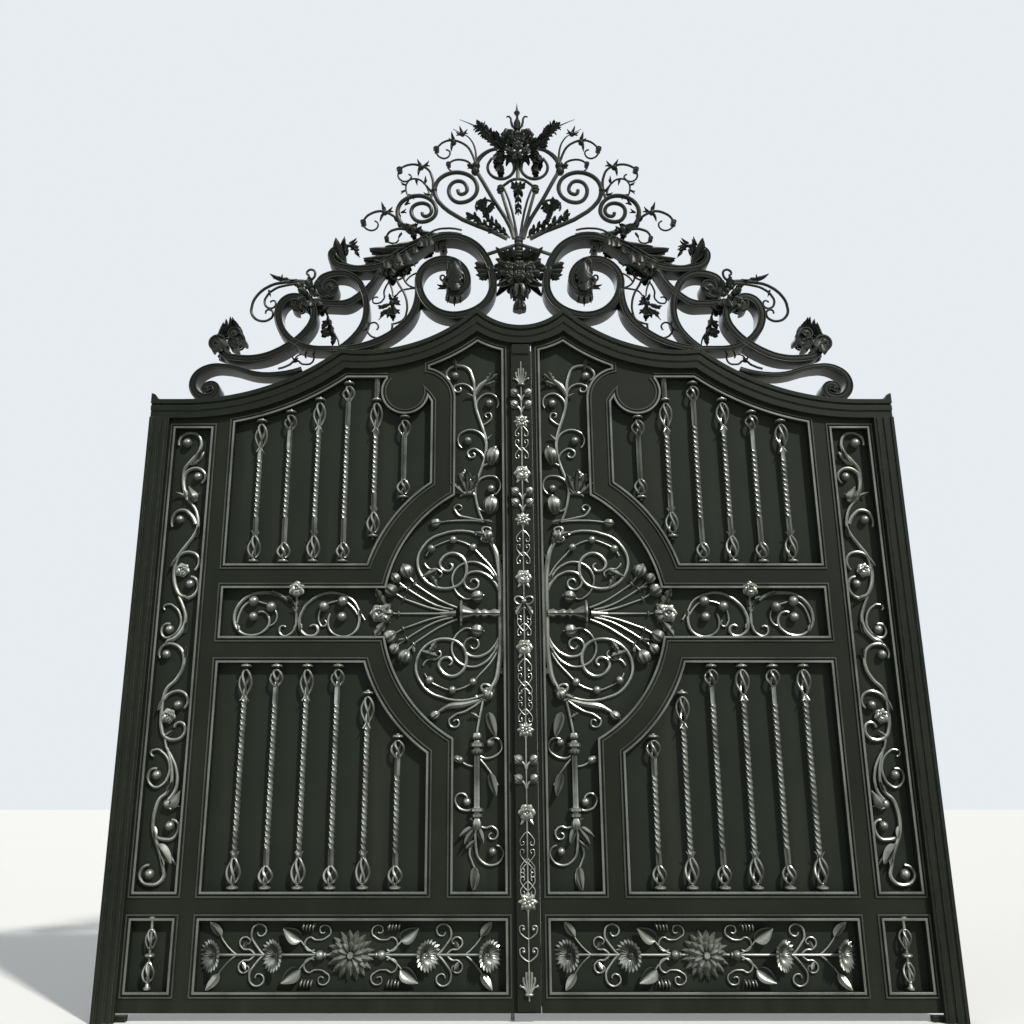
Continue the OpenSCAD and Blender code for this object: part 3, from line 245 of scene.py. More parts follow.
def shape_rose(bm):
    one = Matrix.Identity(4)
    petals_in(bm, "petal", one, 6, 0.1, 10, (0.92, 1.1, 0.9))
    petals_in(bm, "petal", one @ Matrix.Translation((0, 0, 0.14)), 5, 0.06, 28, (0.7, 1.0, 0.8), 20)
    petals_in(bm, "petal", one @ Matrix.Translation((0, 0, 0.26)), 4, 0.02, 50, (0.5, 0.9, 0.7), 50)
    stamp_in(bm, "ball", Matrix.Translation((0, 0, 0.36)) @ Matrix.Diagonal((0.16, 0.16, 0.2, 1)))


def shape_aster(bm):
    one = Matrix.Identity(4)
    petals_in(bm, "lancet", one, 17, 0.24, 4, (0.78, 0.95, 0.9))
    petals_in(bm, "lancet", one @ Matrix.Translation((0, 0, 0.09)), 14, 0.18, 18, (0.62, 0.9, 0.9), 11)
    petals_in(bm, "lancet", one @ Matrix.Translation((0, 0, 0.16)), 10, 0.14, 38, (0.42, 0.9, 0.8), 22)
    stamp_in(bm, "bead_ring", Matrix.Translation((0, 0, 0.2)) @ Matrix.Rotation(math.pi / 2, 4, "Y")
             @ Matrix.Diagonal((0.24, 0.15, 0.15, 1)))


def shape_trumpet(bm):
    spun(bm, [(0, 0), (0, 0.07), (0.1, 0.1), (0.2, 0.2), (0.27, 0.33), (0.31, 0.46), (0.3, 0.56),
              (0.26, 0.55), (0.24, 0.46), (0.2, 0.34), (0.13, 0.2), (0.08, 0.08), (0.1, 0)], 80, 20, 0.09)
    for v in bm.verts:
        out = max(0.0, math.hypot(v.co.y, v.co.z) - 0.3) / 0.26
        v.co.x += out * (0.03 * math.cos(20 * math.atan2(v.co.y, v.co.z))
                         + 0.02 * math.cos(5 * math.atan2(v.co.y, v.co.z)))


def shape_daisy(bm):
    one = Matrix.Identity(4)
    petals_in(bm, "petal", one, 8, 0.2, 8, (0.82, 0.62, 1.0))
    petals_in(bm, "petal", one @ Matrix.Translation((0, 0, 0.12)), 8, 0.12, 26, (0.5, 0.5, 0.8), 22)
    stamp_in(bm, "ball", Matrix.Translation((0, 0, 0.2)) @ Matrix.Diagonal((0.2, 0.2, 0.16, 1)))


def shape_bud(bm):
    stamp_in(bm, "drop", Matrix.Diagonal((1, 1, 1, 1)))
    for i in range(3):
        turn = Matrix.Rotation(math.radians(120 * i + 30), 4, "X")
        stamp_in(bm, "blade", turn @ Matrix.Translation((-0.04, 0, 0.08)) @ Matrix.Rotation(-0.5, 4, "Y")
                 @ Matrix.Diagonal((0.5, 0.6, 0.5, 1)))
    stamp_in(bm, "bead_ring", Matrix.Diagonal((0.1, 0.14, 0.14, 1)))


def sweep(bm, section, places):
    """Carries a closed (y, z) section through a list of places, given as matrices, and closes both ends."""
    verts = [bm.verts.new((0, y, z)) for y, z in section]
    edges = [bm.edges.new(pair) for pair in zip(verts, verts[1:] + verts[:1])]
    bm.faces.new(verts)
    before = Matrix.Identity(4)
    for i, now in enumerate(places):
        if i:
            made = bmesh.ops.extrude_edge_only(bm, edges=edges)["geom"]
            verts = [g for g in made if isinstance(g, bmesh.types.BMVert)]
            inside = set(verts)
            edges = [g for g in made if isinstance(g, bmesh.types.BMEdge) and inside.issuperset(g.verts)]
        bmesh.ops.transform(bm, matrix=now @ before.inverted(), verts=verts)
        before = now
    bmesh.ops.contextual_create(bm, geom=edges)


def shape_snail(bm):
    """A band rolled up into an eye that swells towards the street."""
    turns, count, rim, wire = 1.9, 46, 7, 0.17
    section = [(wire * math.cos(2 * math.pi * k / rim), wire * math.sin(2 * math.pi * k / rim))
               for k in range(rim)]
    places = []
    for i in range(count + 1):
        t = i / count
        a = 2 * math.pi * turns * t
        r = 0.83 * (1 - t) ** 1.1
        places.append(Matrix.Translation((r * math.cos(a), r * math.sin(a), 0.75 * t))
                      @ Matrix.Rotation(a + math.pi / 2, 4, "Z") @ Matrix.Scale(1.15 - 0.35 * t, 4))
    sweep(bm, section, places)
    stamp_in(bm, "ball", Matrix.Translation((0, 0, 0.7)) @ Matrix.Diagonal((0.22, 0.22, 0.26, 1)))


def shape_drum(bm):
    """A band rolled up tightly, seen as a drum with a spiral on each face."""
    spun(bm, [(-0.9, 0), (-0.9, 0.7), (-1, 0.76), (-1, 0.92), (-0.9, 1), (-0.2, 0.97), (0.2, 0.97),
              (0.9, 1), (1, 0.92), (1, 0.76), (0.9, 0.7), (0.9, 0)], 28)
    bmesh.ops.rotate(bm, cent=(0, 0, 0), matrix=Matrix.Rotation(-math.pi / 2, 3, "Y"), verts=bm.verts)
    for face in (1, -1):
        stamp_in(bm, "snail", Matrix.Translation((0, 0, 0.86 * face))
                 @ Matrix.Diagonal((0.66, 0.66, 0.3 * face, 1)))


def shape_pod(bm):
    spun(bm, [(0, 0), (0, 0.14), (0.08, 0.22), (0.2, 0.36), (0.42, 0.45), (0.66, 0.43), (0.84, 0.32),
              (0.93, 0.2), (0.96, 0.1), (1.04, 0.07), (1.04, 0)], 32, 8, 0.08)


# The stamps that functions draw, by the rest of their name.
SHAPES = {make.__name__[len("shape_"):]: make for make in (
    shape_ball, shape_drop, shape_bead_ring, shape_pod, shape_rose, shape_aster, shape_daisy, shape_trumpet,
    shape_bud, shape_snail, shape_drum)}


# Ornament that reaches further than FREE_DEPTH from the gate's plane is flattened, and so is what would come
# through the backing sheet. What is left for it there is DEPTH_LEFT and SHEET_LEFT.
FREE_DEPTH = 52
DEPTH_LEFT = 20
SHEET_LEFT = 2


class Forging:
    """A piece in the making, in millimetres from the gate's middle line, drawn for the right-hand side."""

    def __init__(self):
        self.bm = bmesh.new()
        self.splines = []

    def stamp(self, name, x, y, z, angle=0.0, rise=0.0, size=1.0):
        stamp_in(self.bm, name, lay(x, y, z, angle, rise, size))

    def wire(self, points, widths):
        """A round bar through points in space, with a diameter at each."""
        self.splines.append((points, [w / 2 for w in widths]))

    def rod(self, points, w0, w1, y, swell=0.0, step=11.0, lift=0.0):
        """A round bar along a path in the gate's plane, from w0 to w1 thick. It bows out by lift."""
        stations = route(points, step)
        last = len(stations) - 1
        widths = [w0 + (w1 - w0) * i / last + swell * math.sin(math.pi * i / last) for i in range(last + 1)]
        self.wire([(p.real, y - lift * math.sin(math.pi * i / last), p.imag) for i,
                   (p, _) in enumerate(stations)], widths)

    def rods(self, entries, y, z=0.0, flip=1, thicker=1.0):
        """Rods from a list of bars, moved up by z and flipped over where flip is -1."""
        for entry in entries:
            points = [(p[0], z + flip * p[1]) for p in entry[0]]
            self.rod(points, entry[1] * thicker, entry[2] * thicker, y, entry[3] if len(entry) > 3 else 0.0)

    def spray(self, name, entries, z=0.0, y=0.0, rise=10.0, mirror=1):
        """Stamps (x, z, angle, size) before and behind the plane, so that both faces show them."""
        for x, dz, angle, size in entries:
            turned = angle if mirror > 0 else 180 - angle
            for face in (-1, 1):
                self.stamp(name, mirror * x, face * y, z + dz, turned + 4 * face, -face * rise,
                           (size, size, -face * size))

    def garland(self, name, points, first, last, pace, spread=38.0, y=6.0, rise=14.0):
        """Stamps that leave a path by turns to its left and right, first to last in size."""
        stations = route(points, 5)
        total = sum(abs(b[0] - a[0]) for a, b in zip(stations, stations[1:]))
        gone, due, hand = 0.0, 0.0, 1
        for (p, _), (q, heading) in zip(stations, stations[1:]):
            while due <= gone + abs(q - p):
                t = (due - gone) / abs(q - p)
                size = (first + (last - first) * due / total) * (0.78 + 0.44 * abs(math.sin(0.37 * due)))
                spot, lean = p + (q - p) * t, hand * (spread + 16 * math.sin(0.23 * due))
                for face in (-1, 1):
                    self.stamp(name, spot.real, face * y, spot.imag, math.degrees(heading) + lean,
                               -face * rise, (size, size, -face * size))
                due, hand = due + pace, -hand
            gone += abs(q - p)

    def drum(self, x, z, radius, angle=0.0, depth=104.0):
        """A rolled end with a spiral on both faces."""
        self.stamp("drum", x, 0, z, angle, size=(radius, radius, depth / 2))

    def band(self, points, z, thick, width, step=6.0, end=0.7):
        """A deep bar along a path, square to the gate's plane, with moulded faces and thinner ends."""
        stations = route(points, step)
        last = len(stations) - 1
        h, t = width / 2, thick / 2
        half = [(h - 9, t), (h - 3, t - 0.8), (h, t - 5), (h - 1.5, t - 8.5), (h - 6, t - 10),
                (h - 6.5, t - 12.5), (h - 3, t - 13.5), (h - 2.2, 0)]
        face = half + [(y, -s) for y, s in reversed(half[:-1])]
        section = [(-y, s) for y, s in face] + [(y, -s) for y, s in face]
        places = []
        for i, (p, heading) in enumerate(stations):
            taper = end + (1 - end) * math.sin(math.pi * i / last)
            places.append(Matrix.Translation((p.real, 0, z + p.imag)) @ Matrix.Rotation(-heading, 4, "Y")
                          @ Matrix.Diagonal((1, 1, taper, 1)))
        sweep(self.bm, section, places)

    def turned(self, profile, x, y, z, steps=24, flutes=0, depth=0.0, angle=90.0, size=1.0):
        """A turned shape from (along, radius) pairs, about an upright axis or one at an angle."""
        part = bmesh.new()
        spun(part, profile, steps, flutes, depth)
        mesh = bpy.data.meshes.new("turned")
        part.to_mesh(mesh)
        part.free()
        before = len(self.bm.verts)
        self.bm.from_mesh(mesh)
        bpy.data.meshes.remove(mesh)
        self.bm.verts.ensure_lookup_table()
        bmesh.ops.transform(self.bm, matrix=lay(x, y, z, angle, 0, size), verts=self.bm.verts[before:])

    def twisted(self, x, y, z0, z1, side, pitch, plain0=0.0, plain1=0.0, hand=1):
        """A square bar from z0 to z1, twisted between its plain ends."""
        h, m = side / math.sqrt(2), side / 2 * 0.9 / 1.414
        section = [(-h, 0), (-m, -m), (0, -h), (m, -m), (h, 0), (m, m), (0, h), (-m, m)]
        long = z1 - z0 - plain0 - plain1
        count = max(1, round(long / pitch * 18))
        stops = [(z0, 0.0)] if plain0 else []
        stops += [(z0 + plain0 + long * i / count, long * i / count) for i in range(count + 1)]
        if plain1:
            stops.append((z1, long))
        sweep(self.bm, section, [lay(x, y, z, 90) @ Matrix.Rotation(hand * 2 * math.pi * gone / pitch, 4, "X")
                                 for z, gone in stops])

    def gather(self):
        """Turns the round bars into mesh and joins them to the rest."""
        if not self.splines:
            return
        curve = bpy.data.curves.new("bars", "CURVE")
        curve.dimensions = "3D"
        curve.bevel_depth = 1.0
        curve.bevel_resolution = 2
        curve.use_fill_caps = True
        for points, radii in self.splines:
            spline = curve.splines.new("POLY")
            spline.points.add(len(points) - 1)
            for point, place, radius in zip(spline.points, points, radii):
                point.co = (*place, 1)
                point.radius = radius
        holder = bpy.data.objects.new("bars", curve)
        bpy.context.scene.collection.objects.link(holder)
        bpy.context.view_layer.update()
        mesh = bpy.data.meshes.new_from_object(holder.evaluated_get(bpy.context.evaluated_depsgraph_get()))
        self.bm.from_mesh(mesh)
        bpy.data.objects.remove(holder)
        bpy.data.curves.remove(curve)
        bpy.data.meshes.remove(mesh)
        self.splines = []

    def hang_pair(self, stem, node, body=None):
        """Makes the object on both sides of the gate, for a node that each side has."""
        paint, slot = (finish("crest"), "iron") if body else (finish("rubbed"), "pewter")
        for side, word in SIDES:
            self.hang(f"{stem}_{word}", side, body or word + "_leaf", paint, [f"{word}_{node}"])

    def hang(self, name, side, body, paint, nodes=(), sharp=38.0):
        """Makes the finished object on one side of the gate and lets it ride on its body."""
        self.gather()
        bm = self.bm.copy()
        bmesh.ops.remove_doubles(bm, verts=bm.verts, dist=0.002)
        for v in bm.verts:
            deep = abs(v.co.y) - FREE_DEPTH
            if deep > 0:
                v.co.y = math.copysign(FREE_DEPTH + DEPTH_LEFT * (1 - math.exp(-deep / DEPTH_LEFT)), v.co.y)
            sunk = v.co.y - SHEET_FRONT
            if body != "frame" and sunk > 0:
                v.co.y = SHEET_FRONT + SHEET_LEFT * (1 - math.exp(-sunk / SHEET_LEFT))
        bmesh.ops.scale(bm, vec=(side * 0.001, 0.001, 0.001), verts=bm.verts)
        bmesh.ops.translate(bm, vec=(MID / 1000, 0, 0), verts=bm.verts)
        bmesh.ops.recalc_face_normals(bm, faces=bm.faces)
        mesh = bpy.data.meshes.new(name)
        bm.to_mesh(mesh)
        bm.free()
        mesh.shade_smooth()
        mesh.set_sharp_from_angle(angle=math.radians(sharp))
        thing = bpy.data.objects.new(name, mesh)
        bpy.context.scene.collection.objects.link(thing)
        mesh.materials.append(paint)
        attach(thing, body)
        if nodes:
            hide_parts(*nodes)
        return thing


# Finishes. Shader maths is written as expressions on sockets.

class Value:
    """A number that varies over a surface, from a shader socket."""

    def __init__(self, finish, socket):
        self.finish = finish
        self.socket = socket

    def op(self, operation, *others, clamp=False):
        node = self.finish.node("ShaderNodeMath", {"operation": operation, "use_clamp": clamp},
                                dict(enumerate(others)))
        return Value(self.finish, node.outputs[0])

    def __add__(self, other):
        return self.op("ADD", self, other)

    def __radd__(self, other):
        return self.op("ADD", other, self)

    def __sub__(self, other):
        return self.op("SUBTRACT", self, other)

    def __rsub__(self, other):
        return self.op("SUBTRACT", other, self)

    def __mul__(self, other):
        return self.op("MULTIPLY", self, other)

    def __rmul__(self, other):
        return self.op("MULTIPLY", other, self)

    def step(self, low, high):
        """0 below low, 1 above high and smooth between them."""
        node = self.finish.node("ShaderNodeMapRange", {"interpolation_type": "SMOOTHSTEP"},
                                {0: self, 1: low, 2: high, 3: 0.0, 4: 1.0})
        return Value(self.finish, node.outputs[0])

    def clamped(self):
        return self.op("ADD", self, 0.0, clamp=True)


class Finish:
    """A painted metal finish under construction."""

    def __init__(self, name):
        self.material = bpy.data.materials.new(name)
        self.material.use_nodes = True
        self.tree = self.material.node_tree
        self.tree.nodes.clear()
        self.shader = self.tree.nodes.new("ShaderNodeBsdfPrincipled")
        output = self.tree.nodes.new("ShaderNodeOutputMaterial")
        self.tree.links.new(self.shader.outputs[0], output.inputs[0])
        self.coords = self.node("ShaderNodeTexCoord", {}, {}).outputs

    def node(self, kind, settings, sockets):
        """Adds a node: its settings first, then the values or links of its sockets."""
        node = self.tree.nodes.new(kind)
        for key, setting in settings.items():
            setattr(node, key, setting)
        for key, value in sockets.items():
            self.feed(node.inputs[key], value)
        return node

    def feed(self, socket, value):
        if isinstance(value, Value):
            value = value.socket
        if isinstance(value, bpy.types.NodeSocket):
            self.tree.links.new(value, socket)
        else:
            socket.default_value = value

    def noise(self, scale, detail=4.0, roughness=0.55, stretch=(1, 1, 1), distort=0.0):
        place = self.coords["Object"]
        if stretch != (1, 1, 1):
            place = self.node("ShaderNodeMapping", {}, {"Vector": place, "Scale": stretch}).outputs[0]
        node = self.node("ShaderNodeTexNoise", {}, {"Vector": place, "Scale": scale, "Detail": detail,
                                                    "Roughness": roughness, "Distortion": distort})
        return Value(self, node.outputs[0])

    def facing(self, x, y, z):
        """How far the surface faces a direction of the piece's own frame."""
        node = self.node("ShaderNodeVectorMath", {"operation": "DOT_PRODUCT"},
                         {0: self.coords["Normal"], 1: (x, y, z)})
        return Value(self, node.outputs["Value"])

    def place(self, axis):
        """The distance along an axis of the piece's own frame, 0 to 2 for X to Z."""
        node = self.node("ShaderNodeSeparateXYZ", {}, {0: self.coords["Object"]})
        return Value(self, node.outputs[axis])

    def crowns(self, low, high):
        """Bright on the convex places of a dense mesh."""
        return Value(self, self.node("ShaderNodeNewGeometry", {}, {}).outputs["Pointiness"]).step(low, high)

    def rounded(self, radius):
        return self.node("ShaderNodeBevel", {"samples": 4}, {"Radius": radius}).outputs[0]

    def worn(self, rounded):
        """Bright along sharp edges, from a rounded normal."""
        plain = self.node("ShaderNodeNewGeometry", {}, {}).outputs["Normal"]
        node = self.node("ShaderNodeVectorMath", {"operation": "DOT_PRODUCT"}, {0: rounded, 1: plain})
        return 1 - Value(self, node.outputs["Value"])

    def tint(self, factor, first, second):
        node = self.node("ShaderNodeMix", {"data_type": "RGBA"}, {0: factor, 6: first, 7: second})
        return node.outputs[2]

    def bumped(self, height, strength, distance, normal=None):
        sockets = {"Height": height, "Strength": strength, "Distance": distance}
        if normal is not None:
            sockets["Normal"] = normal
        self.feed(self.shader.inputs["Normal"], self.node("ShaderNodeBump", {}, sockets).outputs[0])

    def set(self, **sockets):
        for key, value in sockets.items():
            self.feed(self.shader.inputs[key.replace("_", " ")], value)
        return self.material


def shade(colour, factor=1.0):
    return (colour[0] * factor, colour[1] * factor, colour[2] * factor, 1.0)


def frame_paint(colours):
    """Dark semi-gloss paint on flat iron, rubbed bright along its edges and dusty in patches."""
    f = Finish("frame_paint")
    rounded = f.rounded(0.003)
    patches = f.noise(2.3, 5.0, 0.6)
    drift = f.noise(9.0, 4.0, 0.6, (1, 1, 0.16))
    grain = f.noise(140.0, 3.0, 0.6)
    pores = f.noise(620.0, 2.0, 0.5)
    edge = (f.worn(rounded) * 5.0).step(0.25, 0.95) * (0.3 + 0.7 * f.noise(26.0, 4.0, 0.65).step(0.36, 0.62))
    dust = (patches.step(0.45, 0.72) * 0.5 + drift.step(0.5, 0.8) * 0.5) * (0.4
                                                                            + 0.6 * f.facing(0, 0,
                                                                                             1).step(-0.3,
                                                                                                     1))
    dust = dust + 0.5 * (1 - f.place(2).step(0.02, 0.55)) * drift.step(0.3, 0.7)
    base = f.tint(patches, shade(colours.paint, 0.75), shade(colours.paint, 1.25))
    base = f.tint(dust * 0.2, base, shade(colours.dust))
    base = f.tint(edge * 0.7, base, shade(colours.pewter, 0.5))
    f.bumped(grain * 0.5 + pores * 0.25 + patches * 1.5 + drift * 0.5, 0.2, 0.001, rounded)
    return f.set(Base_Color=base, Roughness=(0.42 + 0.18 * dust + 0.1 * grain - 0.08 * edge).clamped(),
                 Metallic=(0.7 * edge).clamped(), Specular_IOR_Level=0.1)


def sheet_paint(colours):
    """Flat grey-green paint on the backing sheets, with dust, soft dents and faint runs."""
    f = Finish("sheet_paint")
    patches = f.noise(3.1, 5.0, 0.6)
    runs = f.noise(7.0, 5.0, 0.65, (1, 1, 0.08))
    grain = f.noise(240.0, 3.0, 0.6)
    dents = f.noise(1.4, 2.0, 0.4)
    base = f.tint(patches, shade(colours.sheet, 0.75), shade(colours.sheet, 1.25))
    base = f.tint(runs.step(0.48, 0.78) * 0.25, base, shade(colours.dust, 0.8))
    f.bumped(grain * 0.4 + dents * 10.0 + runs * 0.7, 0.25, 0.0012)
    return f.set(Base_Color=base, Roughness=(0.5 + 0.2 * runs + 0.08 * grain).clamped(), Metallic=0.0,
                 Specular_IOR_Level=0.1)


def rubbed_paint(colours):
    """Dark paint on forged bars and leaves, rubbed to pewter on their convex crowns, with a painted pewter
    highlight on the faces turned up towards the street.
    """
    f = Finish("rubbed_paint")
    hammer = f.noise(85.0, 3.0, 0.6)
    grain = f.noise(420.0, 3.0, 0.6)
    patches = f.noise(6.0, 4.0, 0.6)
    # Painted highlight: faces turned up towards the street are tinted to pewter and made metallic, as if lit
    # from above in front.
    painted_highlight = f.facing(0, -0.72, 0.69).step(0.42, 1.0)
    crown = f.crowns(0.5, 0.58)
    # The painted highlight is mixed with real rubbing on the convex crowns.
    rub_and_painted_highlight = ((painted_highlight * 0.95 + crown * 0.25) * (0.4 + 0.9 * patches.step(0.3, 0.65)) * (0.7
                                                                                    + 0.5 * hammer)).clamped()
    base = f.tint(rub_and_painted_highlight, shade(colours.ornament), shade(colours.pewter))
    f.bumped(hammer * 1.2 + grain * 0.3, 0.25, 0.001)
    return f.set(Base_Color=base, Roughness=(0.36 - 0.12 * rub_and_painted_highlight + 0.1 * patches).clamped(),
                 Metallic=(0.75 * rub_and_painted_highlight).clamped(), Specular_IOR_Level=0.12)


def crest_paint(colours):
    """Dark paint on the overthrow, with faint rubbed crowns, a faint painted highlight on faces turned up
    towards the street, and hammer marks.
    """
    f = Finish("crest_paint")
    hammer = f.noise(60.0, 3.0, 0.6)
    grain = f.noise(380.0, 3.0, 0.6)
    patches = f.noise(4.2, 4.0, 0.6)
    # Painted highlight: faces turned up towards the street are tinted to pewter.
    painted_highlight = f.facing(0, -0.66, 0.75).step(0.7, 1.0)
    crown = f.crowns(0.54, 0.64)
    # Half painted highlight, half real rubbing on the convex crowns.
    rub_and_painted_highlight = ((painted_highlight * 0.5 + crown * 0.5) * (0.3 + 0.8 * patches.step(0.35, 0.7))).clamped()
    base = f.tint(patches, shade(colours.paint, 0.4), shade(colours.paint, 0.8))
    base = f.tint(rub_and_painted_highlight * 0.8, base, shade(colours.pewter, 0.6))
    f.bumped(hammer * 1.2 + grain * 0.3, 0.25, 0.001)
    return f.set(Base_Color=base, Roughness=(0.24 + 0.12 * patches + 0.08 * hammer).clamped(),
                 Metallic=(0.7 * rub_and_painted_highlight).clamped(), Specular_IOR_Level=0.16)


def moulding_paint(colours):
    """The beads round the panels: paint rubbed to grey along their edges, with a painted grey highlight on
    faces turned up towards the street, both strongest on the beads at the front.
    """
    f = Finish("moulding_paint")
    rounded = f.rounded(0.005)
    patches = f.noise(5.0, 4.0, 0.6)
    streaks = f.noise(30.0, 4.0, 0.6)
    grain = f.noise(300.0, 3.0, 0.6)
    edge = (f.worn(rounded) * 3.0).step(0.1, 0.8)
    # Painted highlight on faces turned up towards the street.
    painted_highlight = f.facing(0, -0.8, 0.6).step(0.45, 0.95)
    bead = 1 - f.place(1).step(0.001 * (LEAF_FRONT - 8), 0.001 * (LEAF_FRONT - 6))
    # Rubbed edges and the painted highlight together, strongest on the beads at the front.
    rub_and_painted_highlight = ((painted_highlight * 0.55 + edge * 0.5) * (0.6 + 0.6 * patches.step(0.3, 0.65)) * (0.3 + 0.7 * bead)).clamped()
    base = f.tint(rub_and_painted_highlight, shade(colours.ornament), shade(colours.pewter, 0.85))
    f.bumped(streaks * 0.6 + grain * 0.4, 0.25, 0.001, rounded)
    return f.set(Base_Color=base, Roughness=(0.4 - 0.1 * rub_and_painted_highlight + 0.14 * streaks).clamped(),
                 Metallic=(0.6 * rub_and_painted_highlight).clamped(), Specular_IOR_Level=0.12)


def hinge_steel(colours):
    """Greased dark steel on the hinges and the bolt, with rings worn by turning."""
    f = Finish("hinge_steel")
    rounded = f.rounded(0.002)
    rings = f.noise(24.0, 3.0, 0.5, (0.4, 0.4, 22.0))
    patches = f.noise(14.0, 4.0, 0.6)
    grain = f.noise(500.0, 2.0, 0.5)
    edge = (f.worn(rounded) * 4.0).step(0.2, 0.9)
    base = f.tint(patches.step(0.35, 0.7), shade(colours.steel, 0.5), shade(colours.steel))
    base = f.tint(edge * 0.6, base, shade(colours.steel, 2.0))
    f.bumped(rings * 0.8 + grain * 0.3, 0.2, 0.0008, rounded)
    return f.set(Base_Color=base, Roughness=(0.3 + 0.3 * patches + 0.1 * rings).clamped(), Metallic=0.85)


def floor_finish(colours):
    """Pale plaster for the floor."""
    f = Finish("pale_floor")
    patches = f.noise(0.8, 3.0, 0.5)
    base = f.tint(patches, shade(colours.floor, 0.97), shade(colours.floor))
    f.bumped(f.noise(35.0, 3.0, 0.5), 0.05, 0.002)
    return f.set(Base_Color=base, Roughness=0.75)


FINISHES = {}


def finish(name):
    """A finish of the gate, made when it is first asked for."""
    if name not in FINISHES:
        makers = {"frame": frame_paint, "sheet": sheet_paint, "rubbed": rubbed_paint, "crest": crest_paint,
                  "moulding": moulding_paint, "steel": hinge_steel, "floor": floor_finish}
        FINISHES[name] = makers[name](bpy.context.scene.gate_colours)
    return FINISHES[name]


# Sizes and colours that a user would change.

def colour(name, description, default):
    return bpy.props.FloatVectorProperty(name=name, description=description, subtype="COLOR", min=0, max=1,
                                         default=default)


def length(name, description, default):
    return bpy.props.FloatProperty(name=name, description=description, unit="LENGTH", min=0, default=default)


class GateColours(bpy.types.PropertyGroup):
    paint: colour("Paint", "Dark paint on the frame and the overthrow", (0.0100, 0.0130, 0.0085))
    sheet: colour("Sheets", "Flat paint on the backing sheets", (0.0140, 0.0180, 0.0130))
    ornament: colour("Ornament", "Paint in the ornament's shaded places", (0.0100, 0.0125, 0.0090))
    # Pewter tints worn edges and rubbed crowns, and also the painted highlight on faces turned up towards the
    # street.
    pewter: colour("Pewter", "Rubbed highlights on the ornament", (0.335, 0.352, 0.315))
    dust: colour("Dust", "Dust that lies on the paint", (0.050, 0.057, 0.044))
    steel: colour("Steel", "Hinges and drop bolt", (0.20, 0.20, 0.19))
    floor: colour("Floor", "Pale floor", (0.72, 0.72, 0.71))


class GateSizes(bpy.types.PropertyGroup):
    band: length("Band thickness", "Thickness of the overthrow's bands", 0.046)
    band_width: length("Band width", "Width of the overthrow's bands, front to back", 0.110)
    twist_pitch: length("Twist pitch", "Height in which a baluster's bar makes a full turn", 0.110)
    bar: length("Baluster bar", "Side of a baluster's square bar", 0.019)
    button: length("Button", "Diameter of a baluster's buttons", 0.058)
    basket: length("Basket", "Diameter of a baluster's baskets", 0.060)
    basket_wire: length("Basket wire", "Thickness of a basket's wires", 0.0125)
    key_light: bpy.props.FloatProperty(name="Key light", description="Strength of the sun lamp", min=0,
                                       default=3.7)


def sizes():
    return bpy.context.scene.gate_sizes


# Drawings of the ornament, from the gate's middle line, for its right-hand half. Heights are over the shoulders
# in the overthrow, over the ground in the panels, and from their own middle in the medallion and the bottom
# panel. Bands are paths of (x, z, heading). Strokes, twigs and stems are bars: (points, first width, last
# width, swell between the two).
SPIRAL_BAND = [(1007, 915, 0), (1056, 871, 270), (888, 782, 180), (639, 862, 148), (391, 988, 180),
               (148, 687, 270), (366, 498, 0), (562, 702, 90), (421, 844, 180), (290, 712, 270),
               (351, 646, 0), (395, 682, 90)]
SPIRAL_RISER = [(977, 298, 178), (749, 358, 152), (569, 578, 98), (565, 660, 90)]
RING_BANDS = [
    [(1190, 560, 90), (1246, 612, 0), (1332, 508, 270), (1206, 322, 205), (987, 298, 180)],
    [(1020, 672, 270), (1068, 620, 0), (1116, 677, 90), (1002, 754, 180), (846, 528, 270), (987, 298, 325)],
    [(1637, 300, 250), (1483, 238, 180), (1225, 344, 140), (1136, 528, 80), (1146, 600, 100)],
    [(1136, 586, 200), (987, 568, 180), (858, 643, 135), (768, 782, 118)]]
LOW_BAND = [(1704, 66, 90), (1672, 92, 180), (1638, 56, 270), (1694, 14, 0), (1768, 91, 90), (1632, 196, 183),
            (1364, 146, 178), (1186, 181, 158)]
SPIRAL_TWIGS = [
    ([(693, 753), (673, 708), (645, 660), (629, 608), (627, 548), (645, 496), (683, 473),
        (707, 468)], 14, 12),
    ([(707, 470), (711, 428), (738, 396), (783, 383), (825, 398), (843, 434), (831, 468), (801, 476),
        (783, 454), (793, 432)], 13, 10),
    ([(723, 763), (693, 740), (655, 752), (633, 786), (615, 822), (587, 833)], 13, 9),
    ([(649, 788), (645, 740), (623, 708), (585, 690), (567, 688)], 12, 11),
    ([(565, 785), (603, 768), (638, 726)], 11, 10),
    ([(567, 688), (629, 682), (665, 670), (689, 640), (701, 613)], 12, 9),
    ([(735, 733), (715, 688), (707, 638)], 11, 9),
    ([(731, 726), (755, 676), (759, 618), (783, 596), (815, 600), (813, 628), (789, 630)], 11, 9),
    ([(783, 493), (753, 528), (721, 568)], 5, 16),
    ([(640, 800), (622, 818), (602, 836), (586, 824)], 12, 9),
    ([(400, 728), (425, 731), (442, 748), (438, 766), (422, 766), (420, 752)], 13, 9),
    ([(1000, 925), (978, 952), (946, 950), (926, 922), (918, 904)], 26, 9)]
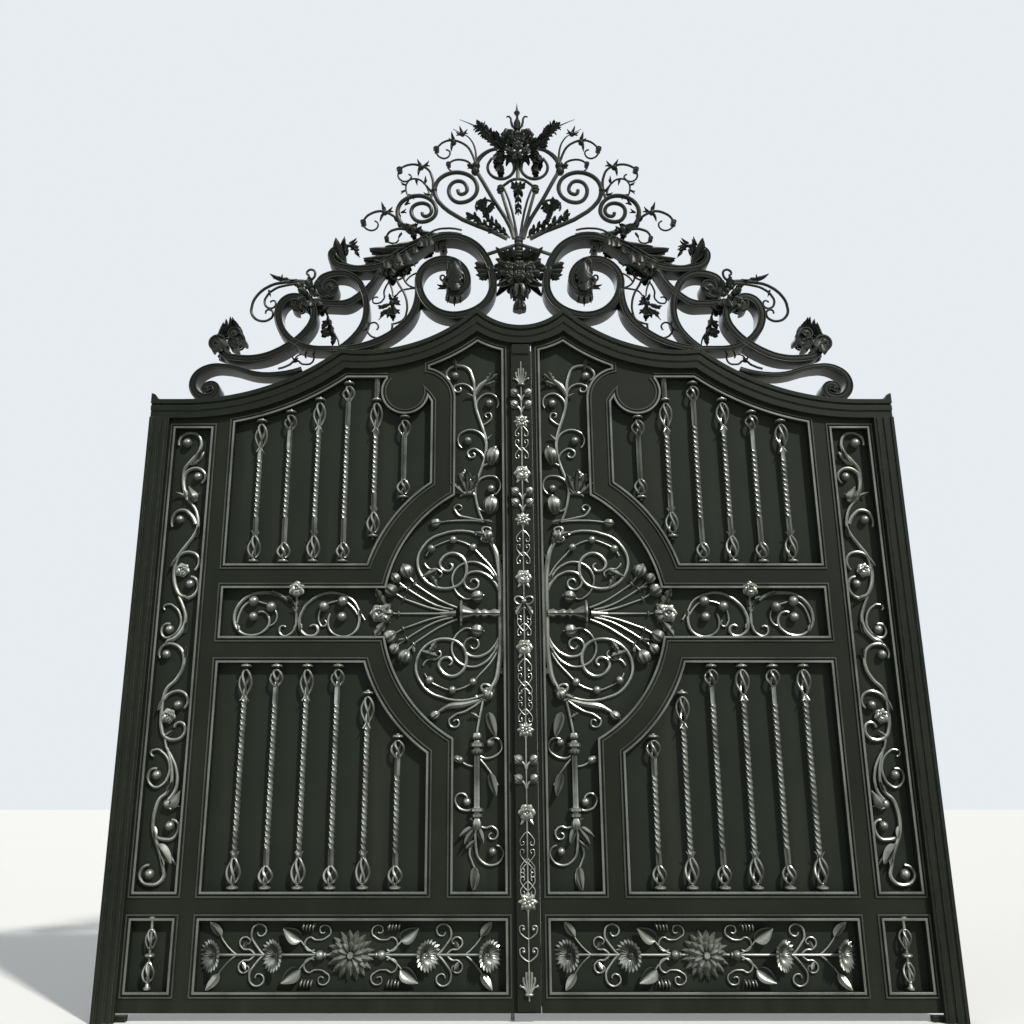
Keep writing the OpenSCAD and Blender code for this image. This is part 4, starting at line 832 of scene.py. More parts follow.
RING_TWIGS = [
    ([(1178, 730), (1293, 726), (1393, 704), (1451, 660), (1489, 588), (1485, 523), (1443, 488),
        (1398, 490), (1371, 518), (1379, 550), (1405, 552), (1411, 532)], 18, 11),
    ([(1178, 720), (1293, 708), (1363, 686), (1405, 648), (1421, 600), (1405, 570), (1373, 566),
        (1358, 588), (1369, 610), (1389, 600)], 15, 10),
    ([(1323, 732), (1233, 734), (1168, 738), (1148, 768), (1155, 798), (1183, 800), (1193, 778),
        (1177, 768)], 16, 13),
    ([(1255, 712), (1207, 704), (1198, 676), (1221, 668)], 10, 8),
    ([(1105, 593), (1079, 548), (1063, 508), (1035, 428), (1005, 376), (996, 314)], 14, 7),
    ([(1323, 200), (1265, 222), (1231, 248), (1183, 226), (1143, 234), (1133, 276), (1153, 298),
        (1177, 288), (1173, 264)], 13, 9),
    ([(1233, 250), (1219, 278), (1197, 284)], 10, 8)]
VOLUTE_TWIGS = [
    ([(633, 1063), (683, 1118), (733, 1158), (783, 1178), (833, 1168), (873, 1138), (887, 1104)], 17, 14),
    ([(887, 1092), (863, 1060), (833, 1053), (805, 1073), (805, 1102), (823, 1114)], 12, 10),
    ([(553, 1044), (613, 1054), (693, 1062), (738, 1040), (753, 1000)], 18, 13),
    ([(751, 988), (728, 973), (698, 974), (683, 994)], 12, 10),
    ([(505, 1258), (491, 1328), (496, 1398), (521, 1453), (563, 1478), (623, 1487), (683, 1458)], 17, 13),
    ([(690, 1438), (687, 1392), (653, 1373), (627, 1386), (619, 1410), (635, 1420)], 12, 10),
    ([(513, 1288), (538, 1356), (578, 1388), (618, 1388), (645, 1356), (647, 1318), (633, 1276)], 13, 10),
    ([(243, 1478), (261, 1548), (293, 1608), (338, 1640), (385, 1652), (433, 1638), (461, 1612),
        (475, 1588)], 16, 12),
    ([(473, 1570), (453, 1536), (423, 1528), (398, 1548), (398, 1576), (419, 1586)], 12, 10),
    ([(243, 1488), (245, 1578), (263, 1638), (293, 1678), (323, 1696), (378, 1728)], 14, 4),
    ([(261, 1450), (281, 1498), (323, 1518), (373, 1514), (401, 1492)], 15, 12),
    ([(405, 1472), (387, 1444), (353, 1442)], 11, 9),
    ([(237, 1488), (207, 1540), (163, 1578), (103, 1600), (53, 1606)], 19, 17)]
SIDE_STROKES = [
    ([(176, 2775), (164, 2825), (129, 2843), (84, 2835), (57, 2790), (64, 2740), (105, 2685), (134, 2640),
        (136, 2590), (127, 2530), (104, 2470)], 9, 14),
    ([(39, 2565), (20, 2600), (42, 2635), (84, 2645), (122, 2622), (134, 2580)], 9, 14),
    ([(104, 2665), (70, 2690), (40, 2738)], 8, 4, 16),
    ([(104, 2470), (66, 2430), (42, 2370), (40, 2320), (58, 2275), (92, 2225), (130, 2165), (142, 2100),
        (138, 2040), (125, 2000), (99, 1962), (59, 1950), (22, 1975), (14, 2020), (29, 2050), (54, 2060)],
        10, 10, 6),
    ([(174, 2325), (177, 2370), (154, 2408), (119, 2415), (79, 2388), (52, 2340)], 9, 14),
    ([(138, 2150), (109, 2182), (69, 2190), (29, 2170), (19, 2130), (36, 2095)], 12, 9),
    ([(109, 1958), (79, 1900), (64, 1850), (74, 1790), (109, 1745), (149, 1722), (152, 1712)], 10, 12, 6),
    ([(172, 1888), (180, 1905), (159, 1917), (119, 1900), (89, 1850), (89, 1800), (119, 1760), (160, 1748),
        (182, 1785), (169, 1812), (139, 1815)], 7, 10),
    ([(176, 1645), (182, 1680), (159, 1710), (119, 1715), (74, 1690), (54, 1640), (59, 1590), (84, 1540),
        (129, 1490), (144, 1435), (144, 1380), (140, 1310), (119, 1262), (79, 1245), (39, 1255), (19, 1290),
        (34, 1325), (59, 1328), (75, 1305)], 9, 9, 6),
    ([(138, 1440), (99, 1475), (59, 1480), (24, 1455), (19, 1420), (34, 1398)], 12, 9),
    ([(116, 1262), (108, 1215), (79, 1170), (49, 1110), (39, 1050), (49, 1000), (74, 965)], 8, 12),
    ([(100, 1205), (84, 1160), (69, 1100), (68, 1040), (84, 1000), (119, 965), (134, 920), (139, 870),
        (134, 820), (119, 780), (92, 720), (74, 660), (66, 620), (86, 590), (129, 580), (164, 592),
        (182, 622), (170, 655), (139, 668)], 10, 9, 5),
    ([(162, 1168), (180, 1185), (154, 1200), (114, 1180), (84, 1130), (84, 1080), (104, 1040), (139, 1022),
        (172, 1040), (184, 1075), (169, 1105), (142, 1108)], 7, 10),
    ([(124, 795), (79, 783), (39, 787), (16, 820), (20, 858), (50, 872)], 12, 9),
    ([(108, 760), (84, 735), (44, 705), (12, 668)], 10, 5, 12)]
CROSS_STROKES = [
    ([(1204, 1938), (1244, 1965), (1324, 1978), (1394, 1965), (1449, 1920), (1472, 1860), (1459, 1800),
        (1419, 1765), (1374, 1758), (1324, 1775), (1294, 1815), (1298, 1852), (1325, 1878), (1352, 1876)],
        16, 10),
    ([(1456, 1822), (1446, 1870), (1424, 1912), (1384, 1935), (1334, 1925), (1284, 1905), (1256, 1860),
        (1266, 1822), (1290, 1808)], 9, 7),
    ([(1158, 1950), (1157, 1870), (1157, 1815), (1180, 1768), (1214, 1755), (1239, 1780), (1229, 1806),
        (1209, 1802)], 12, 8),
    ([(808, 1838), (838, 1885), (864, 1930), (924, 1967), (994, 1978), (1074, 1945), (1124, 1890),
        (1140, 1830), (1124, 1775), (1086, 1755), (1052, 1764), (1044, 1790), (1062, 1811), (1084, 1804)],
        8, 9, 8),
    ([(844, 1880), (836, 1825), (849, 1785), (884, 1757), (934, 1754), (979, 1780), (994, 1830),
        (984, 1870)], 12, 9),
    ([(846, 1865), (874, 1905), (919, 1935), (974, 1930), (1024, 1905), (1042, 1862), (1039, 1825),
        (1020, 1805), (1002, 1818), (1012, 1835)], 8, 7)]
MEDAL_STROKES = [
    ([(190, 404), (146, 340), (122, 240), (115, 120), (117, -2)], 13, 26, 6),
    ([(160, 372), (240, 420), (384, 428), (500, 370), (544, 265), (490, 160), (400, 128), (316, 160),
        (290, 230), (316, 296), (366, 315), (412, 292), (428, 250), (400, 222), (370, 228), (364, 250),
        (378, 260)], 10, 8, 6),
    ([(500, 300), (474, 338), (430, 364), (364, 384), (300, 370), (260, 346), (222, 306), (170, 250),
        (134, 190)], 6, 8),
    ([(508, 262), (488, 236), (438, 228), (418, 206), (430, 188)], 8, 6),
    ([(250, 92), (284, 74), (325, 92), (356, 135), (364, 185), (345, 230), (300, 262), (248, 268),
        (195, 245), (150, 195), (126, 130)], 7, 11),
    ([(122, 108), (150, 166), (192, 204), (244, 218), (288, 202), (303, 165), (286, 132), (256, 124),
        (231, 142), (234, 170), (258, 178), (270, 162)], 12, 7),
    ([(119, 0), (165, 0)], 20, 18),
    ([(244, 412), (216, 424), (190, 410), (166, 380), (152, 346)], 12, 10),
    ([(345, 0), (430, 0)], 26, 10),
    ([(338, 30), (430, 70), (505, 118), (552, 150)], 9, 7),
    ([(360, 20), (450, 44), (535, 90), (588, 124)], 9, 7),
    ([(380, 10), (480, 30), (560, 58), (606, 74)], 9, 7),
    ([(380, 0), (632, 0)], 9, 7),
    ([(560, 160), (584, 186)], 6, 9),
    ([(598, 130), (640, 162)], 6, 8),
    ([(616, 80), (650, 100)], 6, 8),
    ([(640, 0), (700, 0)], 6, 8)]
VINE_STROKES = [
    ([(380, 3150), (404, 3180), (392, 3212), (344, 3235), (290, 3222), (259, 3160), (250, 3050),
        (240, 2980), (208, 2880), (188, 2800), (196, 2700), (222, 2620), (246, 2540), (238, 2450),
        (204, 2350)], 8, 10, 5),
    ([(252, 3070), (284, 3118), (330, 3128), (362, 3105), (346, 3082), (324, 3092), (330, 3106)], 9, 7),
    ([(250, 3050), (224, 3110), (180, 3150), (128, 3188)], 10, 4, 22),
    ([(240, 2985), (224, 3045), (168, 3072), (122, 3035), (128, 2990)], 10, 7),
    ([(212, 2890), (180, 2905), (158, 2938), (174, 2960), (192, 2946), (180, 2934)], 8, 6),
    ([(190, 2790), (224, 2848), (284, 2862), (339, 2815), (320, 2762)], 10, 7),
    ([(198, 2680), (222, 2740), (262, 2755), (286, 2726), (266, 2706), (248, 2720), (258, 2732)], 9, 7),
    ([(204, 2660), (170, 2680), (144, 2712)], 8, 10),
    ([(240, 2560), (184, 2602), (128, 2590), (112, 2545), (144, 2502)], 10, 7),
    ([(244, 2530), (280, 2580), (304, 2640)], 9, 4, 18),
    ([(246, 2500), (290, 2510), (326, 2490)], 9, 4, 14),
    ([(236, 2440), (190, 2410), (154, 2440)], 8, 8),
    ([(206, 2360), (270, 2372), (344, 2402), (354, 2434), (330, 2444), (318, 2424), (332, 2416)], 9, 6),
    ([(206, 2354), (300, 2360), (390, 2356), (440, 2348)], 8, 6),
    ([(204, 1445), (284, 1420), (394, 1400), (464, 1350)], 9, 4, 24),
    ([(204, 1445), (290, 1385), (350, 1362), (376, 1332), (352, 1306), (326, 1322), (336, 1342),
        (352, 1334)], 9, 6),
    ([(204, 1445), (225, 1350), (239, 1270)], 9, 9),
    ([(239, 1205), (224, 1172), (150, 1168), (114, 1210), (136, 1252), (176, 1246)], 10, 7),
    ([(228, 1160), (172, 1092), (136, 1032)], 8, 8),
    ([(240, 1120), (290, 1128), (320, 1150)], 8, 8),
    ([(240, 935), (290, 915), (336, 940), (342, 975), (308, 994), (284, 972)], 9, 7),
    ([(239, 860), (244, 760), (226, 695), (174, 667), (122, 690), (112, 730), (144, 756)], 10, 7),
    ([(236, 850), (200, 836), (160, 840), (138, 808), (158, 784), (180, 798), (166, 812)], 9, 6),
    ([(246, 780), (272, 730), (256, 670), (230, 622), (250, 560)], 9, 5)]
FLORAL_STROKES = [
    ([(80, 0), (345, 0)], 11, 10),
    ([(400, 0), (632, 0)], 11, 10),
    ([(404, 0), (440, 38), (466, 86), (452, 124), (418, 130), (398, 106), (410, 84), (432, 84), (438, 98)],
        10, 6),
    ([(446, 0), (466, 20), (500, 26), (518, 50), (504, 74), (480, 72), (470, 56), (482, 46)], 9, 6),
    ([(530, 0), (574, 36), (616, 92)], 8, 6),
    ([(150, 0), (200, 26), (240, 66)], 8, 7),
    ([(168, 22), (196, 74), (162, 64), (122, 70), (96, 98), (118, 126), (146, 114), (140, 94), (124, 98)],
        8, 6)]

# Balls: (x, z, diameter).
SIDE_BALLS = [
    (129, 2785, 42), (58, 2597, 38), (134, 2362, 38), (54, 2022, 38), (139, 1788, 38), (144, 1662, 38),
    (64, 1412, 38), (139, 1080, 38), (56, 845, 38), (133, 628, 40), (78, 2498, 36), (74, 945, 38)]
CROSS_BALLS = [
    (1374, 1852, 42), (1376, 1932, 46), (1285, 1902, 46), (924, 1852, 42), (922, 1932, 46), (1018, 1904, 46)]
MEDAL_BALLS = [
    (474, 336, 42), (360, 384, 40), (257, 344, 40)]
VINE_BALLS = [
    (356, 3172, 36), (170, 3012, 36), (286, 2798, 36), (142, 2714, 34), (162, 2532, 34), (156, 2442, 32),
    (172, 1232, 32), (320, 1150, 30), (286, 955, 32), (164, 728, 32)]

# More bars of the overthrow, the heads of its bouquet (x, z, depth, size, lean) and the parts of its drop
# (shape, x, z, depth, angle, rise, size).
EYE_ARCH = [
    ([(398, 752), (402, 800), (394, 838), (370, 850), (344, 836), (330, 800), (338, 766), (356, 740)], 11, 9),
    ([(326, 690), (342, 676), (372, 672), (396, 684), (398, 702), (384, 706)], 11, 8)]
FAN_STEMS = [
    ([(50, 1006), (110, 1070), (165, 1124), (192, 1190)], 13, 9),
    ([(70, 1004), (180, 1082), (262, 1142)], 13, 8)]
BOUQUET_HEADS = [
    (0, 1584, 46, 34, 0), (50, 1610, 38, 27, 30), (44, 1552, 40, 28, 80), (92, 1582, 32, 24, 50),
    (20, 1640, 34, 28, 20), (74, 1646, 28, 23, 60), (0, 1526, 40, 24, 0), (120, 1618, 24, 22, 50),
    (52, 1674, 20, 46, 24), (0, 1660, 20, 44, 0), (98, 1544, 28, 24, 100)]
BOUQUET_LEAVES = [
    (70, 1590, 4, 64), (64, 1604, 34, 62), (44, 1620, 62, 60), (16, 1630, 80, 56), (76, 1572, -26, 60),
    (40, 1560, -56, 64), (14, 1540, -82, 76)]
DROP_PARTS = [
    ("frond", 30, 815, 26, 43, 6, 150), ("frond", 30, 750, 26, -39, 6, 140),
    ("acanthus", 24, 860, 30, 30, 14, 84), ("acanthus", 20, 850, 34, 62, 18, 80),
    ("acanthus", 50, 812, 36, 6, 20, 84), ("acanthus", 44, 770, 36, -14, 20, 84),
    ("acanthus", 30, 740, 32, -60, 22, 74), ("rose", 62, 800, 42, 20, 0, 38),
    ("rose", 60, 752, 40, 70, 0, 32), ("rose", 6, 806, 46, 10, 0, 34), ("rose", 8, 752, 42, 50, 0, 32),
    ("frond", 8, 706, 10, -72, 10, 90), ("acanthus", 84, 800, 36, -30, 20, 70),
    ("acanthus", 84, 770, 36, 34, 20, 60)]
ARM_RIBS = [
    ([(323, 1028), (393, 1040), (473, 1028), (533, 988), (613, 948), (693, 892), (773, 838), (843, 810),
        (923, 803), (993, 833), (1033, 888)], 13, 9),
    ([(463, 998), (533, 963), (613, 923), (693, 868), (773, 826)], 14, 9)]
VOLUTES = [
    [(66, 1000, 32), (396, 1174, 38), (481, 1316, 90), (353, 1434, 180), (235, 1330, 270), (333, 1234, 0),
     (400, 1314, 90), (343, 1376, 180), (294, 1320, 270), (328, 1288, 0), (347, 1318, 90)],
    [(426, 1012, 12), (600, 1052, 10), (693, 1174, 90), (573, 1279, 180), (471, 1180, 270), (553, 1108, 0),
     (614, 1178, 90), (553, 1230, 180), (498, 1180, 270), (533, 1144, 0), (551, 1168, 90)]]

# Leaves, buds and flowers: (x, z, angle, size).
ARM_TIPS = [
    (560, 958, -8, 196), (610, 918, 0, 232), (680, 872, -5, 196), (540, 984, -26, 120)]
ARM_LEAVES = [
    (686, 896, -92, 104), (641, 905, -96, 122), (655, 866, -80, 92), (738, 852, -88, 96),
    (768, 838, -104, 72), (712, 852, -112, 80), (600, 930, -100, 76), (574, 940, -82, 78),
    (556, 988, -88, 96), (530, 994, -92, 104), (505, 1002, -90, 104)]
ARM_END = [
    (996, 826, 80, 158), (1028, 850, 90, 112), (1008, 828, 62, 96), (985, 905, 96, 70),
    (960, 950, 160, 56), (1004, 935, 120, 56), (936, 934, 215, 44)]
ARM_ROOT = [
    (729, 812, -110, 84), (706, 800, -84, 76), (752, 800, -62, 64), (684, 790, -40, 52),
    (764, 826, 10, 56), (720, 780, -96, 52)]
EYE_LEAVES = [
    (366, 846, -92, 170), (392, 820, -104, 150), (340, 812, -78, 150), (366, 745, -90, 130),
    (338, 740, -70, 110), (398, 738, -112, 110)]
STAR_LEAVES = [
    (708, 598, 118, 46), (712, 600, 76, 50), (704, 594, 176, 44), (706, 604, 150, 40), (708, 592, -96, 96),
    (716, 590, -16, 50), (735, 574, -4, 58), (722, 562, -38, 72), (700, 552, 196, 40), (712, 566, -66, 60)]
RING_LEAVES = [
    (1150, 654, 60, 76), (1135, 645, 110, 76), (1170, 636, 20, 70), (1116, 619, 150, 66),
    (1179, 614, -30, 70), (1145, 604, -70, 76), (1125, 594, -120, 66), (1194, 654, 40, 60),
    (1160, 684, 80, 56), (1095, 604, 180, 50)]
DROP_LEAVES = [
    (1069, 508, -110, 76), (1063, 493, -60, 70), (1049, 468, -100, 76), (1043, 450, -40, 80),
    (1053, 428, -130, 60), (1028, 419, -16, 76), (1023, 413, -80, 70), (1043, 488, -20, 60),
    (1013, 388, -60, 50)]
TWIG_LEAVES = [
    (1328, 740, 20, 76), (1293, 744, 0, 66), (1338, 732, 110, 40), (1243, 740, -10, 50),
    (1403, 678, 250, 40), (1263, 710, 190, 60), (1093, 578, -60, 50), (1233, 244, 60, 34),
    (1243, 238, 150, 40)]
KNOB_TIPS = [
    (1653, 388, 118, 74), (1623, 408, 104, 70), (1593, 419, 96, 72), (1565, 424, 80, 66),
    (1541, 416, 64, 66), (1528, 398, 46, 60), (1668, 373, 140, 66), (1683, 348, 168, 60)]
KNOB_LEAVES = [
    (1653, 367, -118, 108), (1635, 357, -84, 108), (1670, 342, -150, 76), (1620, 327, -60, 66)]
VOLUTE_LEAVES = [
    (765, 1170, 75, 62), (775, 1164, -70, 50), (758, 1168, 150, 50), (623, 1050, 150, 70),
    (629, 1054, 200, 60), (603, 1060, 40, 50), (665, 1040, -60, 44), (558, 1470, 60, 52),
    (568, 1474, -80, 56), (553, 1472, 150, 50), (593, 1392, 250, 40), (643, 1348, 20, 40),
    (645, 1318, -30, 40), (633, 1288, 210, 44), (538, 1360, 100, 44), (503, 1304, 60, 44),
    (505, 1284, 10, 44), (373, 1640, 80, 60), (381, 1638, -85, 54), (365, 1642, 20, 44),
    (321, 1694, 70, 50), (315, 1688, 10, 50), (323, 1694, 150, 40), (293, 1488, 210, 40),
    (255, 1458, 20, 46), (683, 1128, 100, 40), (693, 1098, 200, 40), (693, 1108, 60, 44),
    (653, 1218, 140, 44), (675, 1168, 160, 40)]
VOLUTE_ROLLS = [
    (887, 1100, 200, 18), (751, 996, 200, 15), (687, 1448, 190, 18), (475, 1586, 190, 18),
    (403, 1484, 190, 15)]
SIDE_LEAVES = [
    (100, 2666, 128, 92), (106, 762, 226, 118), (127, 2530, 248, 56), (118, 2490, 20, 50),
    (130, 2165, 296, 60), (99, 1962, 205, 60), (54, 1640, 100, 60), (144, 1440, 285, 56),
    (119, 1262, 150, 56), (86, 1000, 120, 56), (137, 845, 245, 60), (92, 720, 240, 60), (48, 2270, 110, 56),
    (70, 1770, 110, 56)]
CROSS_LEAVES = [
    (1230, 1960, 200, 60), (1240, 1962, 20, 60), (1456, 1820, 250, 46), (1140, 1830, 250, 46),
    (836, 1850, 100, 44), (1159, 1900, 60, 46), (1159, 1900, 120, 46), (1159, 1870, 60, 40),
    (1159, 1870, 120, 40)]
MEDAL_ENDS = [
    (556, 154, 42), (592, 127, 36), (610, 77, 24), (635, 0, 0), (165, 0, 0)]
MEDAL_LEAVES = [
    (150, 350, 66, 84), (160, 372, 20, 60), (124, 262, 110, 50), (120, 150, 60, 60), (520, 190, 160, 96),
    (440, 136, 60, 70), (250, 428, 200, 60), (700, 30, 60, 110), (560, 160, 100, 40), (598, 130, 10, 40)]
MEDAL_BUDS = [
    (584, 186, 62, 76), (636, 158, 50, 60), (648, 98, 34, 74), (268, 82, 172, 66), (170, 382, 70, 56)]
VINE_LEAVES = [
    (286, 2506, 62, 120), (286, 2506, 88, 130), (280, 2510, 116, 110), (300, 2500, 36, 100),
    (192, 3128, 124, 80), (186, 3136, 148, 76), (196, 3120, 168, 70), (206, 2362, 200, 60),
    (246, 2540, 300, 50), (196, 2700, 200, 50), (250, 3050, 20, 50), (204, 1448, 160, 56),
    (225, 1350, 30, 50), (246, 780, 320, 60), (236, 850, 40, 50), (188, 2800, 140, 50), (350, 3210, 80, 60)]
VINE_BUDS = [
    (166, 2664, 104, 104), (172, 2392, 98, 104), (312, 1146, 20, 46), (426, 2350, -8, 56),
    (424, 1378, -34, 56)]
FLORAL_LEAVES = [
    (604, 80, 52, 88), (500, 30, 120, 40)]

# Balusters: the lowest and highest point of each and the top of the hanger above the fifth. Their baskets:
# height of the foot, height of the head, and the stretch of bar that is twisted.
UPPER_SPANS = [
    (2122.3, 2919.0), (2122.3, 2970.3), (2122.3, 3041.8), (2122.3, 3137.1), (2255.0, 3039.7),
    (2465.1, 2941.7)]
HANGER_TOP = 3152
LOWER_SPANS = [
    (553.3, 1617.7), (553.3, 1617.7), (553.3, 1617.7), (553.3, 1617.7), (553.3, 1485.0), (553.3, 1274.9)]
BASKETS = {
    "upper": [(116, 132, 2370, 2690), (80, 82, 2368, 2745), (116, 132, 2370, 2830), (80, 84, 2362, 2885),
              (110, 140, 2500, 2830), (80, 90, 9, 0)],
    "lower": [(116, 126, 0, 9999), (80, 84, 740, 1420), (116, 126, 0, 9999), (80, 84, 740, 1420),
              (116, 126, 0, 9999), (80, 84, 720, 1080)]}

# The meeting strip's motifs: (shape, height, size).
STRIP_MOTIFS = [
    ("palmette", 3150, 0), ("buds", 3052, 0), ("buds", 2985, 0), ("rosette", 2890, 42),
    ("tendrils", 2766, 62), ("rose", 2600, 44), ("buds", 2500, 0), ("buds", 2440, 0), ("rosette", 2350, 42),
    ("tendrils", 2196, 58), ("rose", 2045, 42), ("bow", 1920, 0), ("tendrils", 1812, 40),
    ("rose", 1690, 42), ("tendrils", 1540, 56), ("tendrils", 1400, 50), ("rosette", 1290, 42),
    ("buds", 1150, 0), ("buds", 1060, 0), ("rose", 905, 42), ("tendrils", 720, 60), ("tendrils", 600, 40),
    ("rosette", 510, 46), ("arms", 385, 0), ("arms", 290, 0), ("palmette", 170, 0)]


class GATE_OT_crest_spirals(bpy.types.Operator):
    """Forges the big spirals with their leafy arms"""
    bl_idname = "object.gate_crest_spirals"
    bl_label = "Big Spirals"

    def execute(self, context):
        top, thick, width = HEADER_TOP, 1000 * sizes().band, 1000 * sizes().band_width
        work = Forging()
        work.band(SPIRAL_BAND, top, thick, width)
        work.band(SPIRAL_RISER, top, thick, width)
        work.rods(SPIRAL_TWIGS, 0, top)
        for y in (-46, 0, 46):
            work.rods(ARM_RIBS, y, top)
        for x, z in ((512, 972), (538, 956)):
            work.stamp("bead_ring", x, 0, top + z, -32, size=(18, 40, 62))
        for y, rise in ((16, 3), (44, 8)):
            work.spray("tongue", ARM_TIPS, top, y, 1)
            work.spray("frond", ARM_END, top, y - 6, rise)
        work.spray("acanthus", ARM_LEAVES, top, 44, 22)
        work.spray("acanthus", ARM_ROOT, top, 40, 16)
        for x, z, size in ((426, 925, 24), (464, 958, 22)):
            work.drum(x, top + z, size, 40, 100)
        work.drum(363, top + 686, 74, 200, 96)
        work.spray("acanthus", EYE_LEAVES, top, 50, 20)
        for y in (-50, 50):
            work.rods(EYE_ARCH, y, top)
        work.spray("frond", ((408, 694, 2, 56), (326, 750, 178, 42), (320, 724, 184, 44), (324, 698, 190, 36),
                             (362, 630, -92, 44), (392, 636, -70, 34), (336, 636, -112, 34)), top, 16, 6)
        work.spray("feather", STAR_LEAVES, top, 5, 12)
        work.stamp("ball", 710, 0, top + 596, size=18)
        work.hang_pair("spiral_forging", "spiral", "frame")
        return {"FINISHED"}


class GATE_OT_crest_rings(bpy.types.Operator):
    """Forges the interlaced rings with their rolled eyes, leaves and twigs"""
    bl_idname = "object.gate_crest_rings"
    bl_label = "Interlaced Rings"

    def execute(self, context):
        top, thick, width = HEADER_TOP, 1000 * sizes().band, 1000 * sizes().band_width
        work = Forging()
        for path in RING_BANDS:
            work.band(path, top, thick, width)
        work.rods(RING_TWIGS, 0, top)
        for x, z, size, angle in ((1222, 573, 47, 90), (1052, 672, 48, 80), (1566, 392, 38, 80),
                                  (1552, 350, 50, 80), (1655, 338, 50, 130)):
            work.drum(x, top + z, size, angle, 104 if size < 50 else 92)
        for y in (24, 46):
            work.spray("acanthus", RING_LEAVES, top, y, y * 0.5)
            work.spray("frond", KNOB_TIPS, top, y - 10, 8)
        work.spray("acanthus", KNOB_LEAVES, top, 46, 22)
        work.spray("feather", DROP_LEAVES, top, 6, 18)
        work.spray("frond", TWIG_LEAVES, top, 5, 10)
        for x, z, y in ((1150, 648, -50), (1176, 672, -46), (1128, 626, -46), (1162, 610, -48),
                        (1190, 638, -44)):
            work.stamp("ball", x, y, top + z, size=15)
        work.stamp("bead_ring", 1616, 0, top + 268, 50, size=(34, 30, 50))
        work.hang_pair("rings_forging", "rings", "frame")
        return {"FINISHED"}


class GATE_OT_crest_low_scrolls(bpy.types.Operator):
    """Forges the low scrolls at the ends of the overthrow"""
    bl_idname = "object.gate_crest_low_scrolls"
    bl_label = "Low Scrolls"

    def execute(self, context):
        top = HEADER_TOP
        work = Forging()
        work.band(LOW_BAND, top, 1000 * sizes().band, 1000 * sizes().band_width, end=0.5)
        work.drum(1690, top + 66, 34, 90)
        work.hang_pair("low_scroll_forging", "low_scroll", "frame")
        return {"FINISHED"}


class GATE_OT_crest_volutes(bpy.types.Operator):
    """Forges the volutes with their curled twigs, balls and leaves"""
    bl_idname = "object.gate_crest_volutes"
    bl_label = "Volutes"

    def execute(self, context):
        top = HEADER_TOP
        work = Forging()
        for path in VOLUTES:
            work.rod([(x, top + z, angle) for x, z, angle in path], 27, 22, 0, step=9)
        work.rods(VOLUTE_TWIGS, 0, top)
        for x, z, angle, size in VOLUTE_ROLLS:
            work.drum(x, top + z, size, angle, 34)
        for x, z, d in ((243, 1478, 25), (246, 1440, 25), (484, 1316, 18), (596, 1052, 26), (626, 1068, 24),
                        (560, 1046, 18), (322, 1692, 15), (562, 1466, 17), (766, 1168, 17),
                        (374, 1634, 17)):
            work.stamp("ball", x, 0, top + z, size=(d, d, d * 1.1))
        work.spray("frond", VOLUTE_LEAVES, top, 4, 8)
        work.garland("acanthus", [(690, top + 1110), (650, top + 1080), (570, top + 1046)], 50, 66, 22, 26)
        work.rod([(243, top + 1484), (222, top + 1534), (180, top + 1572), (120, top + 1592)], 23, 20, 0)
        work.hang_pair("volutes_forging", "volutes", "frame")
        return {"FINISHED"}


